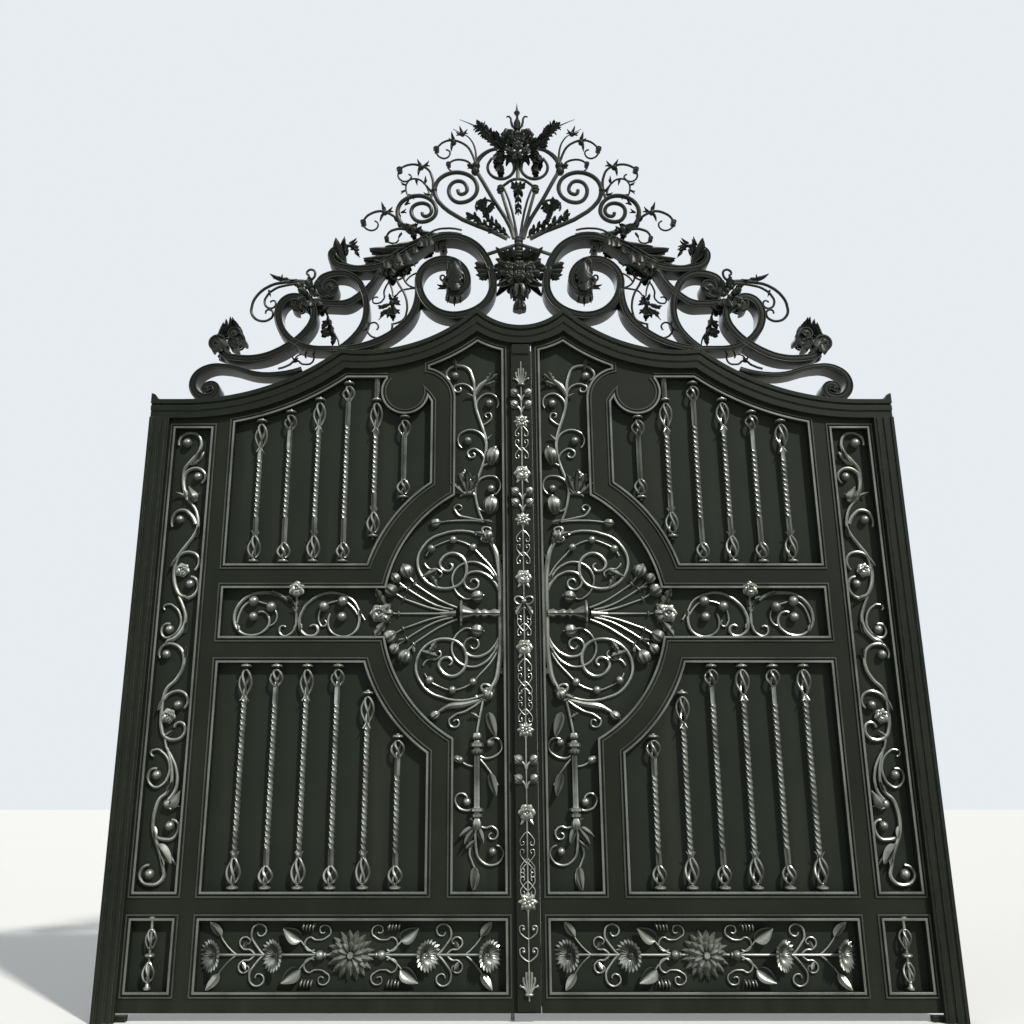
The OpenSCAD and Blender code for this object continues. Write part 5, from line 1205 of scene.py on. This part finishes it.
class GATE_OT_crest_fan(bpy.types.Operator):
    """Forges the fan of stems on its hub, with sprays of leaves and buds"""
    bl_idname = "object.gate_crest_fan"
    bl_label = "Fan"

    def execute(self, context):
        top = HEADER_TOP
        work = Forging()
        for m in (1, -1):
            def at(points):
                return [(m * p[0], top + p[1]) + ((180 - p[2] if m < 0 else p[2],) if len(p) > 2 else ())
                        for p in points]
            work.rod(at([(212, 888, 118), (0, 966, 180)]), 22, 22, 0)
            work.rod(at([(26, 1000, 80), (146, 1260, 60), (243, 1450, 58)]), 25, 25, 0)
            work.rod(at([(16, 1000, 84), (98, 1312, 78)]), 21, 19, 0)
            work.rod(at([(86, 1322, 70), (52, 1372, 140), (0, 1390, 180)]), 18, 18, 0)
            work.rod(at([(8, 1000), (22, 1100), (52, 1240), (84, 1330)]), 16, 13, -8)
            work.rod(at([(150, 1240), (190, 1251), (228, 1244), (244, 1212), (236, 1180)]), 15, 11, 0)
            work.rod(at([(97, 1546, 180), (19, 1468, 270), (97, 1390, 0), (175, 1468, 90),
                         (150, 1530, 120)]), 22, 17, 0)
            work.rod(at([(110, 1600), (150, 1666), (200, 1722), (252, 1752), (340, 1794)]), 30, 3, 0)
            work.rod(at([(160, 1676), (190, 1702), (214, 1706), (230, 1690)]), 12, 9, 0)
            work.garland("acanthus", at([(104, 1600), (140, 1646), (186, 1704), (226, 1744)]), 66, 40, 12,
                         26, 14, 18)
            work.spray("frond", ((216, 1738, 62, 40), (205, 1742, 116, 36), (232, 1742, -20, 34),
                                 (160, 1690, 100, 40)), top, 6, 8, m)
            work.rods([([(m * x, z) for x, z in points], *rest) for points, *rest in FAN_STEMS], 0, top)
            work.garland("acanthus", at([(60, 1020), (110, 1070), (165, 1120), (190, 1180)]), 50, 46, 17,
                         24, 10, 16)
            work.garland("acanthus", at([(100, 1030), (180, 1080), (262, 1140)]), 36, 44, 19, 22, 8, 12)
            work.spray("acanthus", ((186, 1170, 60, 76), (190, 1160, 128, 76), (196, 1200, 20, 56),
                                    (200, 1190, 96, 66), (178, 1200, 160, 56), (250, 1134, 18, 52),
                                    (262, 1150, -40, 34)), top, 12, 12, m)
            work.spray("acanthus", ((78, 1560, -60, 84), (104, 1575, -76, 110), (122, 1560, -100, 100),
                                    (96, 1490, -84, 84), (116, 1480, -116, 50), (82, 1470, -60, 50)), top,
                       14, 12, m)
            for z, size in ((1306, 19), (1322, 23), (1338, 19)):
                work.stamp("bead_ring", m * 101, 0, top + z, 80 if m > 0 else 100, size=(16, size, size))
        work.rod([(0, top + 1390), (0, top + 1690)], 22, 22, 0)
        work.rod([(0, top + 1340), (0, top + 1250), (0, top + 1150)], 13, 6, -2)
        work.spray("acanthus", ((0, 1322, 38, 56), (0, 1322, 142, 56), (0, 1330, 66, 40),
                                (0, 1330, 114, 40), (0, 1330, -64, 56), (0, 1330, -116, 56),
                                (2, 1270, -62, 34), (-2, 1270, -118, 34), (2, 1226, -60, 34),
                                (-2, 1226, -120, 34), (2, 1190, -56, 30), (-2, 1190, -124, 30)), top, 8, 10)
        for x in (-28, 0, 28):
            work.stamp("ball", x, 0, top + 1342 - abs(x) * 0.2, 90, size=(13, 15, 15))
        for z, height, radius in ((930, 26, 24), (956, 30, 27), (982, 26, 25), (1002, 18, 20)):
            work.stamp("bead_ring", 0, 0, top + z, 90, size=(height, radius, radius))
        work.hang("fan_forging", 1, "frame", finish("crest"), ["crest_fan"])
        return {"FINISHED"}


def bouquet():
    """Roses and buds with leaves, on both faces."""
    top = HEADER_TOP
    work = Forging()
    for face in (-1, 1):
        for x, z, y, size, turn in BOUQUET_HEADS:
            for m in ((1, -1) if x else (1,)):
                work.stamp("rose" if size > 27 else "bud", m * x, face * y, top + z, 90 - m * turn,
                           -face * 10, (size, size, -face * size * 1.1))
    for m in (1, -1):
        for y in (10, 34):
            work.spray("frond", BOUQUET_LEAVES, top, y, 10 + 0.4 * y, m)
    work.hang("bouquet_forging", 1, "frame", finish("crest"), ["crest_bouquet"])


def finial():
    """The turned tulip on the bouquet."""
    top = HEADER_TOP
    work = Forging()
    work.turned([(1682, 0), (1682, 14), (1692, 15), (1702, 9), (1720, 9), (1726, 17), (1733, 17),
                 (1740, 12), (1750, 18), (1768, 21), (1786, 15), (1798, 8), (1812, 6), (1822, 9),
                 (1832, 16), (1842, 18), (1852, 11), (1866, 6), (1912, 0)], 0, 0, top, 20)
    for i in range(4):
        a = math.radians(90 * i)
        path = [(12, 1728), (27, 1748), (34, 1775), (36, 1800), (45, 1814), (58, 1815), (62, 1808)]
        work.wire([(r * math.cos(a), r * math.sin(a), top + z) for r, z in path], [13, 17, 15, 13, 12, 10, 6])
    for angle in (20, 60, 120, 160):
        work.stamp("frond", 0, 0, top + 1700, angle, 0, 44)
    work.hang("finial_forging", 1, "frame", finish("crest"), ["crest_finial"])


def drop():
    """The hanging drop under the bouquet: leaves, side arms, beads and a bell."""
    top = HEADER_TOP
    work = Forging()
    work.rod([(0, top + 960), (0, top + 560)], 20, 16, 0)
    for m in (1, -1):
        for face in (-1, 1):
            for kind, x, z, y, angle, rise, size in DROP_PARTS:
                work.stamp(kind, m * x, face * y, top + z, angle if m > 0 else 180 - angle, -face * rise,
                           (size, size, -face * size))
        work.rod([(m * 50, top + 782), (m * 120, top + 788), (m * 176, top + 778)], 30, 26, -30)
        for x, size in ((146, 30), (172, 26)):
            work.stamp("bead_ring", m * x, -34, top + 780, 4, size=(22, size, size * 0.9))
        for x, z, angle, size in ((160, 796, 10, 96), (158, 776, -8, 88), (162, 762, -22, 72),
                                  (150, 784, 24, 56), (150, 760, 200, 60), (148, 800, 160, 56)):
            for rise in (6, -26):
                work.stamp("acanthus", m * x, -40 - rise * 0.3, top + z, angle if m > 0 else 180 - angle,
                           rise, size)
    for z, height, radius in ((904, 24, 34), (884, 20, 38), (864, 20, 30), (724, 18, 24), (702, 18, 32),
                              (632, 14, 14)):
        work.stamp("bead_ring", 0, 0, top + z, 90, size=(height, radius, radius * 0.9))
    for i in range(6):
        a = math.radians(60 * i)
        path = [(8, 700), (34, 690), (44, 664), (41, 640), (48, 622)]
        work.wire([(r * math.cos(a), 0.8 * r * math.sin(a), top + z) for r, z in path], [16, 30, 32, 22, 7])
    work.turned([(542, 0), (542, 30), (552, 38), (570, 37), (590, 30), (606, 18), (620, 12), (620, 0)], 0,
                0, top, 36, 6, 0.12)
    work.hang("drop_forging", 1, "frame", finish("crest"), ["crest_pendant"])


class GATE_OT_crest_flowers(bpy.types.Operator):
    """Forges the bouquet, the tulip finial and the drop of leaves"""
    bl_idname = "object.gate_crest_flowers"
    bl_label = "Bouquet, Finial and Drop"

    def execute(self, context):
        bouquet()
        finial()
        drop()
        return {"FINISHED"}


def basket(work, x, y, z0, z1, radius, wire, twist, tips):
    """Four bowed and twisted wires from the button side z0 to the bar side z1, some with flared tips."""
    core, rise = 7.0, z1 - z0
    way = 1 if rise > 0 else -1
    for k in range(4):
        points, widths = [], []
        for i in range(15):
            t = i / 14
            r = core + (radius - core) * math.sin(math.pi * t ** 0.82) ** 0.85
            a = math.radians(45 + 90 * k) + twist * t
            points.append((x + r * math.cos(a), y + r * math.sin(a), z0 + rise * t))
            widths.append(wire * (0.75 + 0.3 * math.sin(math.pi * t)))
        if tips:
            a = math.radians(45 + 90 * k) + twist
            for r, dz, w in ((11, 8, 0.75), (17, 18, 0.6), (25, 27, 0.4)):
                points.append((x + r * math.cos(a), y + r * math.sin(a), z1 + way * dz))
                widths.append(wire * w)
        work.wire(points, widths)
    for z, r in ((z0 + way * 2, 12), (z1 - way * 3, 11)):
        work.stamp("bead_ring", x, y, z, 90, size=(9, r, r))


def baluster(work, x, y, z0, z1, foot, head, low, high, hand):
    """A baluster: a button and a basket at each end of a square bar, which is twisted from low to high."""
    s = sizes()
    wire, ball = 1000 * s.basket_wire, 500 * s.basket
    cap = [(0, 0), (0, 10), (5, 11), (7, 20), (9, 25), (12, 28), (15, 29), (18, 28), (21, 23), (24, 14),
           (27, 9), (31, 8), (34, 8), (34, 0)]
    cap = [(h, r * 1000 * s.button / 58) for h, r in cap]
    work.turned(cap, x, y, z0, 20)
    work.turned([(-h, r) for h, r in cap], x, y, z1, 20)
    basket(work, x, y, z0 + 33, z0 + 33 + foot, ball, wire, hand * 1.5, foot > 90)
    basket(work, x, y, z1 - 33, z1 - 33 - head, ball, wire, -hand * 1.5, head > 90)
    z0, z1 = z0 + 30 + foot, z1 - 30 - head
    low, high = max(low, z0 + 12), min(high, z1 - 12)
    work.twisted(x, y, z0, z1, 1000 * s.bar, 1000 * s.twist_pitch if high > low else 1e6, max(12, low - z0),
                 max(12, z1 - high) if high > low else 12, hand)


class GATE_OT_balusters(bpy.types.Operator):
    """Forges the twisted balusters of both leaves with their buttons and baskets"""
    bl_idname = "object.gate_balusters"
    bl_label = "Balusters"

    def execute(self, context):
        y = SHEET_FRONT - 29
        for side, word in SIDES:
            for row, spans in (("upper", UPPER_SPANS), ("lower", LOWER_SPANS)):
                work = Forging()
                for i, (z0, z1) in enumerate(spans):
                    baluster(work, 1390 - 153 * i, y, z0, z1, *BASKETS[row][i], -side)
                if row == "upper":
                    work.twisted(778, y, UPPER_SPANS[4][1] - 1, HANGER_TOP, 1000 * sizes().bar, 1e6)
                work.hang(row + "_balusters_" + word, side, word + "_leaf", finish("rubbed"),
                          [word + "_" + row + "_balusters"])
            work = Forging()
            x, z0, z1 = 1751, 126.3, 427.7
            work.rod([(x, z0), (x, z1)], 13, 13, y)
            for z, way in ((z0 + 38, 1), (z1 - 38, -1)):
                basket(work, x, y, z, z + way * 84, 25, 10, -side * way * 1.4, False)
                work.turned([(0, 0), (0, 8), (8, 18), (14, 18), (22, 10), (40, 7), (40, 0)], x, y,
                            z - way * 38, 18)
            work.turned([(-10, 0), (-9, 14), (-5, 23), (0, 25), (5, 23), (9, 14), (10, 0)], x, y,
                        (z0 + z1) / 2, 20)
            work.hang("small_baluster_forging_" + word, side, word + "_leaf", finish("rubbed"),
                      [word + "_small_baluster"])
        return {"FINISHED"}


class GATE_OT_side_scrolls(bpy.types.Operator):
    """Forges the winding scrolls of the side panels with their balls, roses and buds"""
    bl_idname = "object.gate_side_scrolls"
    bl_label = "Side Scrolls"

    def execute(self, context):
        y, x0 = SHEET_FRONT - 10, 1655
        work = Forging()
        work.rods([([(x0 + x, z) for x, z in points], *rest) for points, *rest in SIDE_STROKES], y,
                  thicker=1.6)
        for x, z, d in SIDE_BALLS:
            work.stamp("ball", x0 + x, SHEET_FRONT - d * 0.45, z, 90, size=d * 0.6)
        for x, z, angle, size in SIDE_LEAVES:
            work.stamp("frond", x0 + x, y - 6, z, angle, 8, (size * 1.1, size * 1.3, size))
        for x, z in ((100, 2094), (108, 1360)):
            work.stamp("rose", x0 + x, y - 12, z, 15, size=38)
        for x, z, angle, size in ((60, 2462, 62, 96), (60, 925, 118, 96)):
            work.stamp("bud", x0 + x, y - 8, z, angle, size=size)
        work.hang_pair("side_scroll_forging", "side_scroll")
        return {"FINISHED"}


class GATE_OT_cross_scrolls(bpy.types.Operator):
    """Forges the paired scrolls of the cross panels"""
    bl_idname = "object.gate_cross_scrolls"
    bl_label = "Cross Scrolls"

    def execute(self, context):
        y = SHEET_FRONT - 8
        work = Forging()
        work.rods(CROSS_STROKES, y, thicker=1.3)
        for x, z, d in CROSS_BALLS:
            work.stamp("ball", x, SHEET_FRONT - d * 0.45, z, 90, size=d * 0.58)
        for x, z, angle, size in CROSS_LEAVES:
            work.stamp("feather", x, y - 5, z, angle, 10, size)
        work.rod([(1159, 1962), (1159, 1800)], 10, 7, y - 4)
        work.stamp("rose", 1156, LEAF_FRONT - 4, 1990, 30, size=(42, 42, 36))
        work.hang_pair("cross_scroll_forging", "cross_scroll")
        return {"FINISHED"}


class GATE_OT_medallions(bpy.types.Operator):
    """Forges the halves of the round medallion: spirals, a torch and a spray of rods"""
    bl_idname = "object.gate_medallions"
    bl_label = "Medallion"

    def execute(self, context):
        y = SHEET_FRONT - 8
        work = Forging()
        for flip in (1, -1):
            work.rods(MEDAL_STROKES, y, MEDAL_Z, flip, 1.3)
            for x, z, angle in MEDAL_ENDS:
                work.stamp("bead_ring", x, y, MEDAL_Z + flip * z, flip * angle, size=(9, 14, 14))
            for x, z, d in MEDAL_BALLS:
                work.stamp("ball", x, SHEET_FRONT - d * 0.5, MEDAL_Z + flip * z, 90, size=d / 2)
            for x, z, angle, size in MEDAL_LEAVES:
                work.stamp("feather", x, y - 6, MEDAL_Z + flip * z, flip * angle, 10, size)
            for x, z, angle, size in MEDAL_BUDS:
                work.stamp("pod", x, y - 10, MEDAL_Z + flip * z, flip * angle, size=size)
        torch = [(0, 0), (0, 15), (14, 17), (28, 21), (44, 14), (58, 12), (72, 19), (84, 20), (94, 12),
                 (104, 16), (114, 23), (124, 15), (134, 15), (156, 25), (180, 35), (189, 40), (190, 57),
                 (195, 62), (201, 58), (199, 40), (194, 30), (190, 0)]
        work.turned(torch, 122, y - 18, MEDAL_Z, 32, 8, 0.09, 0, (1, 1, 0.6))
        work.stamp("rose", 734, y - 14, MEDAL_Z, 0, size=48)
        for angle in (180, 132, 228):
            work.stamp("pod", 722, y - 4, MEDAL_Z, angle, size=(62, 54, 50))
        work.hang_pair("medallion_forging", "medallion")
        return {"FINISHED"}


class GATE_OT_vines(bpy.types.Operator):
    """Forges the vines of the inner panels, each with a turned column"""
    bl_idname = "object.gate_vines"
    bl_label = "Inner Vines"

    def execute(self, context):
        y = SHEET_FRONT - 8
        work = Forging()
        work.rods(VINE_STROKES, y, thicker=1.4)
        for x, z, d in VINE_BALLS:
            work.stamp("ball", x, SHEET_FRONT - d * 0.45, z, 90, size=d * 0.62)
        for x, z, angle, size in VINE_LEAVES:
            work.stamp("feather", x, y - 6, z, angle, 10, size)
        for x, z, angle, size in VINE_BUDS:
            work.stamp("pod", x, y - 6, z, angle, size=(size, size * 0.84, size * 0.7))
        work.stamp("rose", 300, y - 12, 2600, 20, size=30)
        for x, z in ((190, 2284), (196, 1476)):
            for turn in (1, -1):
                work.rod([(x - 6 * turn, z - 6 * turn), (x + 14 * turn, z + 8 * turn),
                          (x + 18 * turn, z + 30 * turn), (x - 6 * turn, z + 38 * turn),
                          (x - 24 * turn, z + 22 * turn), (x - 12 * turn, z + 12 * turn)], 16, 10, y - 6)
            work.stamp("ball", x, y - 12, z, 90, size=17)
        work.turned([(826, 0), (828, 14), (842, 22), (860, 23), (874, 16), (880, 15), (886, 24), (896, 25),
                     (902, 17), (908, 17), (912, 30), (922, 30), (928, 19), (936, 17), (1168, 17),
                     (1176, 19), (1184, 26), (1196, 27), (1202, 17), (1208, 17), (1214, 30), (1226, 30),
                     (1234, 18), (1242, 14), (1248, 20), (1262, 23), (1276, 18), (1286, 0)], 238, y - 10, 0,
                    32, 8, 0.07)
        for x, z, angle, size in ((180, 1378, -106, 132), (172, 1088, -104, 116), (246, 660, -84, 108),
                                  (250, 836, -56, 92), (262, 838, -34, 76), (232, 836, -110, 80)):
            work.stamp("frond", x, y - 10, z, angle, 4, (size, size * 1.15, size))
        work.hang_pair("vine_forging", "vine")
        return {"FINISHED"}


def coil(work, x, z, y, long, radius, turns, wire):
    """A spring of thick wire that lies along X."""
    count = 12 * turns
    points = [(x - long / 2 + long * i / count, y + radius * math.cos(2 * math.pi * i / 12),
               z + radius * math.sin(2 * math.pi * i / 12)) for i in range(count + 1)]
    work.wire(points, [wire] * (count + 1))


class GATE_OT_floral_panels(bpy.types.Operator):
    """Forges the bottom panels: a rosette between rods that carry fluted bells, callas, coils and leaves"""
    bl_idname = "object.gate_floral_panels"
    bl_label = "Bottom Panels"

    def execute(self, context):
        y, mx, mz = SHEET_FRONT - 8, 823.5, 277
        work = Forging()
        for m in (1, -1):
            for k in (1, -1):
                for entry in FLORAL_STROKES:
                    work.rod([(mx + m * p[0], mz + k * p[1]) for p in entry[0]], entry[1] * 1.2,
                             entry[2] * 1.2, y, entry[3] if len(entry) > 3 else 0)
                for x, z, angle, size in FLORAL_LEAVES:
                    turned = k * angle if m > 0 else 180 - k * angle
                    work.stamp("blade", mx + m * x, y - 6, mz + k * z, turned, 8, (size, size * 1.3, size))
                turned = k * 33 if m > 0 else 180 - k * 33
                work.stamp("calla", mx + m * 232, y - 6, mz + k * 62, turned, 8, (100, 92, 80))
                coil(work, mx + m * 200, mz + k * 121, y - 6, 62, 15, 4, 8)
            for x in (338, 624):
                work.stamp("trumpet", mx + m * x, y - 4, mz, 0 if m > 0 else 180, 50, 118)
            work.stamp("ball", mx + m * 143, y - 10, mz, 0, size=22)
            work.stamp("bead_ring", mx + m * 120, y - 8, mz, 0, size=(12, 13, 13))
        work.stamp("aster", mx, y - 8, mz, 0, size=(108, 108, 96))
        work.hang_pair("floral_forging", "floral_panel")
        return {"FINISHED"}


# Motifs of the meeting strip. Each is made about the strip's middle at height z, and y is the strip's face.

def strip_rosette(work, y, z, size):
    work.stamp("daisy", 0, y - 3, z, 0, size=size)


def strip_rose(work, y, z, size):
    work.stamp("rose", 0, y - 4, z, 0, size=size)
    for m in (1, -1):
        work.stamp("blade", m * 8, y - 2, z - 20, -90 + m * 34, 8, (size, size * 0.9, size * 0.6))


def strip_buds(work, y, z, size):
    for m in (1, -1):
        work.rod([(m * 2, z - 44), (m * 14, z - 16), (m * 32, z - 4)], 10, 15, y)
        work.stamp("pod", m * 18, y - 4, z - 10, 90 - m * 56, 4, (46, 44, 38))
        work.stamp("blade", m * 20, y - 3, z - 16, 90 - m * 88, 8, (38, 44, 34))


def strip_palmette(work, y, z, size):
    for i in range(-3, 4):
        work.rod([(3 * i, z - 54), (9 * i, z - 20), (13 * i, z + 30 - 5 * i * i),
                  (12 * i, z + 50 - 7 * i * i)], 9, 13, y - 1)
    work.stamp("bead_ring", 0, y - 4, z - 50, 90, size=(12, 20, 14))


def strip_tendrils(work, y, z, size):
    for m in (1, -1):
        for dz, way in ((size, -1), (0, 1), (-size, -1)):
            curl = ((2, -40), (22, -20), (34, 4), (27, 21), (15, 13), (20, 4))
            work.rod([(m * x, z + dz + way * rise) for x, rise in curl], 5.5, 5, y + 1)


def strip_bow(work, y, z, size):
    for m in (1, -1):
        work.rod([(0, z), (m * 22, z + 26), (m * 44, z + 20), (m * 38, z - 6), (m * 12, z - 10)], 12, 9, y)
        work.stamp("feather", m * 8, y - 4, z - 8, -90 + m * 30, 10, 70)
    work.stamp("ball", 0, y - 5, z, size=15)


def strip_arms(work, y, z, size):
    for m in (1, -1):
        work.rod([(0, z - 34), (m * 22, z - 22), (m * 40, z), (m * 36, z + 22), (m * 20, z + 20),
                  (m * 22, z + 6)], 8, 6, y)
        work.stamp("ball", m * 23, y - 2, z + 8, size=9)


STRIP_SHAPES = {make.__name__[len("strip_"):]: make for make in (
    strip_rosette, strip_rose, strip_buds, strip_palmette, strip_tendrils, strip_bow, strip_arms)}


def joint_bead():
    """Forges a dark round bead on the left leaf's edge that closes the joint between the leaves: painted shade
    that keeps the joint dark in place of the shadow in the gap.
    """
    seat, clear, margin, count = 0.2, 0.8, 10, 60
    left = 1000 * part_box("left_leaf_sheet")[1].x - MID - seat
    right = 1000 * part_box("right_leaf_sheet")[0].x - MID - clear
    low, high = (1000 * corner.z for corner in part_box("meeting_strip"))
    thick = right - left
    work = Forging()
    work.wire([(left + thick / 2, SHEET_FRONT - thick / 2,
                low + margin + (high - low - 2 * margin) * i / count) for i in range(count + 1)],
              [thick] * (count + 1))
    # Painted shade: the bead takes the frame's dark paint, so the joint reads as the dark shade of the gap.
    work.hang("joint_bead", 1, "left_leaf", finish("frame"))


class GATE_OT_strip_vine(bpy.types.Operator):
    """Forges the vine on the meeting strip, with its rosettes, buds and tendrils, and the dark bead that stands
    for the shade in the joint
    """
    bl_idname = "object.gate_strip_vine"
    bl_label = "Strip Vine"

    def execute(self, context):
        y = STRIP_FRONT - 4
        work = Forging()
        work.rod([(0, 92), (0, 3236)], 8, 8, y + 1)
        for kind, z, size in STRIP_MOTIFS:
            STRIP_SHAPES[kind](work, y, z, size)
        work.hang("strip_vine_forging", 1, "left_leaf", finish("rubbed"), ["strip_vine"])
        joint_bead()
        return {"FINISHED"}


# Nodes that keep their CAD shape, by finish.
CARRIED = {"frame": ["left_post", "right_post", "header", "left_leaf_frame", "right_leaf_frame",
                     "meeting_strip"],
           "sheet": ["left_leaf_sheet", "right_leaf_sheet"],
           "moulding": ["left_leaf_mouldings", "right_leaf_mouldings"],
           "steel": ["left_pintles", "right_pintles", "left_leaf_hinges", "right_leaf_hinges", "bolt_guides",
                     "drop_bolt"]}


class GATE_OT_finishes(bpy.types.Operator):
    """Paints the posts, the header, the leaves' frames, sheets and mouldings, the hinges and the bolt"""
    bl_idname = "object.gate_finishes"
    bl_label = "Painted Frame"

    def execute(self, context):
        for name, nodes in CARRIED.items():
            for node in nodes:
                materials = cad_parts[node].data.materials
                materials.clear()
                materials.append(finish(name))
        return {"FINISHED"}


# The stage: how far the pale floor reaches, the sky's colours and the camera that matches the photograph.
FLOOR_REACH = 60
SOFT_SKY = (0.93, 0.96, 0.95, 1)
SOFT_LEVEL = 0.34
SEEN_SKY = (0.80, 0.84, 0.88, 1)
LAMPS = (("key", (-0.52, 0.72, -0.80), 1.0, 3.0, (1.0, 0.97, 0.93)),
         ("fill", (0.75, 0.60, -0.35), 0.10, 40.0, (0.90, 0.96, 1.0)),
         ("back", (0.10, -0.80, -0.60), 0.16, 40.0, (0.95, 0.98, 1.0)))
CAMERA_AT = (1.6874, -5.178, 0.998)
CAMERA_TILT = 106.96
CAMERA_LENS = 36.035
CAMERA_SHIFT = (0.0352, -0.0313)


def set_floor(scene):
    bm = bmesh.new()
    bmesh.ops.create_grid(bm, x_segments=2, y_segments=2, size=FLOOR_REACH)
    mesh = bpy.data.meshes.new("floor")
    bm.to_mesh(mesh)
    bm.free()
    floor = bpy.data.objects.new("floor", mesh)
    scene.collection.objects.link(floor)
    mesh.materials.append(finish("floor"))


def set_sky(scene):
    """Soft light from all round, and a pale backdrop for the camera, reflections and clear materials."""
    world = bpy.data.worlds.new("studio")
    scene.world = world
    world.use_nodes = True
    nodes, links = world.node_tree.nodes, world.node_tree.links
    nodes.clear()
    soft, pale = nodes.new("ShaderNodeBackground"), nodes.new("ShaderNodeBackground")
    soft.inputs[0].default_value = SOFT_SKY
    soft.inputs[1].default_value = SOFT_LEVEL
    pale.inputs[0].default_value = SEEN_SKY
    pale.inputs[1].default_value = 1.0
    rays, mix = nodes.new("ShaderNodeLightPath"), nodes.new("ShaderNodeMixShader")
    sight, seen = nodes.new("ShaderNodeMath"), nodes.new("ShaderNodeMath")
    seen.use_clamp = True
    output = nodes.new("ShaderNodeOutputWorld")
    for source, target in ((rays.outputs["Is Camera Ray"], sight.inputs[0]),
                           (rays.outputs["Is Glossy Ray"], sight.inputs[1]),
                           (sight.outputs[0], seen.inputs[0]),
                           (rays.outputs["Is Transmission Ray"], seen.inputs[1]),
                           (seen.outputs[0], mix.inputs[0]),
                           (soft.outputs[0], mix.inputs[1]),
                           (pale.outputs[0], mix.inputs[2]),
                           (mix.outputs[0], output.inputs[0])):
        links.new(source, target)


def set_lamps(scene):
    middle, distance = Vector((MID / 1000, 0, 2.5)), 6
    for name, towards, share, angle, colour in LAMPS:
        lamp = bpy.data.lights.new(name, "SUN")
        lamp.energy, lamp.angle, lamp.color = sizes().key_light * share, math.radians(angle), colour
        holder = bpy.data.objects.new(name, lamp)
        holder.location = middle - distance * Vector(towards)
        holder.rotation_euler = Vector(towards).to_track_quat("-Z", "Y").to_euler()
        scene.collection.objects.link(holder)


def set_camera(scene):
    lens = bpy.data.cameras.new("view")
    lens.lens, lens.sensor_width = CAMERA_LENS, 36.0
    lens.shift_x, lens.shift_y = CAMERA_SHIFT
    camera = bpy.data.objects.new("view", lens)
    camera.location = CAMERA_AT
    camera.rotation_euler = (math.radians(CAMERA_TILT), 0, 0)
    scene.collection.objects.link(camera)
    scene.camera = camera


class GATE_OT_stage(bpy.types.Operator):
    """Sets the pale floor, the soft sky, the lamps and the camera"""
    bl_idname = "object.gate_stage"
    bl_label = "Stage"

    def execute(self, context):
        scene = context.scene
        set_floor(scene)
        set_sky(scene)
        set_lamps(scene)
        set_camera(scene)
        scene.view_settings.view_transform = "Standard"
        return {"FINISHED"}


OPERATORS = (GATE_OT_stage, GATE_OT_finishes, GATE_OT_crest_spirals, GATE_OT_crest_rings,
             GATE_OT_crest_low_scrolls, GATE_OT_crest_volutes, GATE_OT_crest_fan, GATE_OT_crest_flowers,
             GATE_OT_balusters, GATE_OT_side_scrolls, GATE_OT_cross_scrolls, GATE_OT_medallions,
             GATE_OT_vines, GATE_OT_floral_panels, GATE_OT_strip_vine)


class GATE_PT_panel(bpy.types.Panel):
    """Lists the gate's sizes, colours and pieces"""
    bl_idname = "GATE_PT_panel"
    bl_label = "Driveway Gate"
    bl_space_type = "VIEW_3D"
    bl_region_type = "UI"
    bl_category = "Gate"

    def draw(self, context):
        layout = self.layout
        for group in (context.scene.gate_sizes, context.scene.gate_colours):
            box = layout.box()
            for key in group.__annotations__:
                box.prop(group, key)
        for operator in OPERATORS:
            layout.operator(operator.bl_idname)


CLASSES = (GateColours, GateSizes) + OPERATORS + (GATE_PT_panel,)


def register():
    for cls in CLASSES:
        bpy.utils.register_class(cls)
    bpy.types.Scene.gate_colours = bpy.props.PointerProperty(type=GateColours)
    bpy.types.Scene.gate_sizes = bpy.props.PointerProperty(type=GateSizes)


def unregister():
    del bpy.types.Scene.gate_sizes
    del bpy.types.Scene.gate_colours
    for cls in reversed(CLASSES):
        bpy.utils.unregister_class(cls)


def main():
    register()
    for operator in OPERATORS:
        getattr(bpy.ops.object, operator.bl_idname.split(".")[1])()


if __name__ == "__main__":
    main()
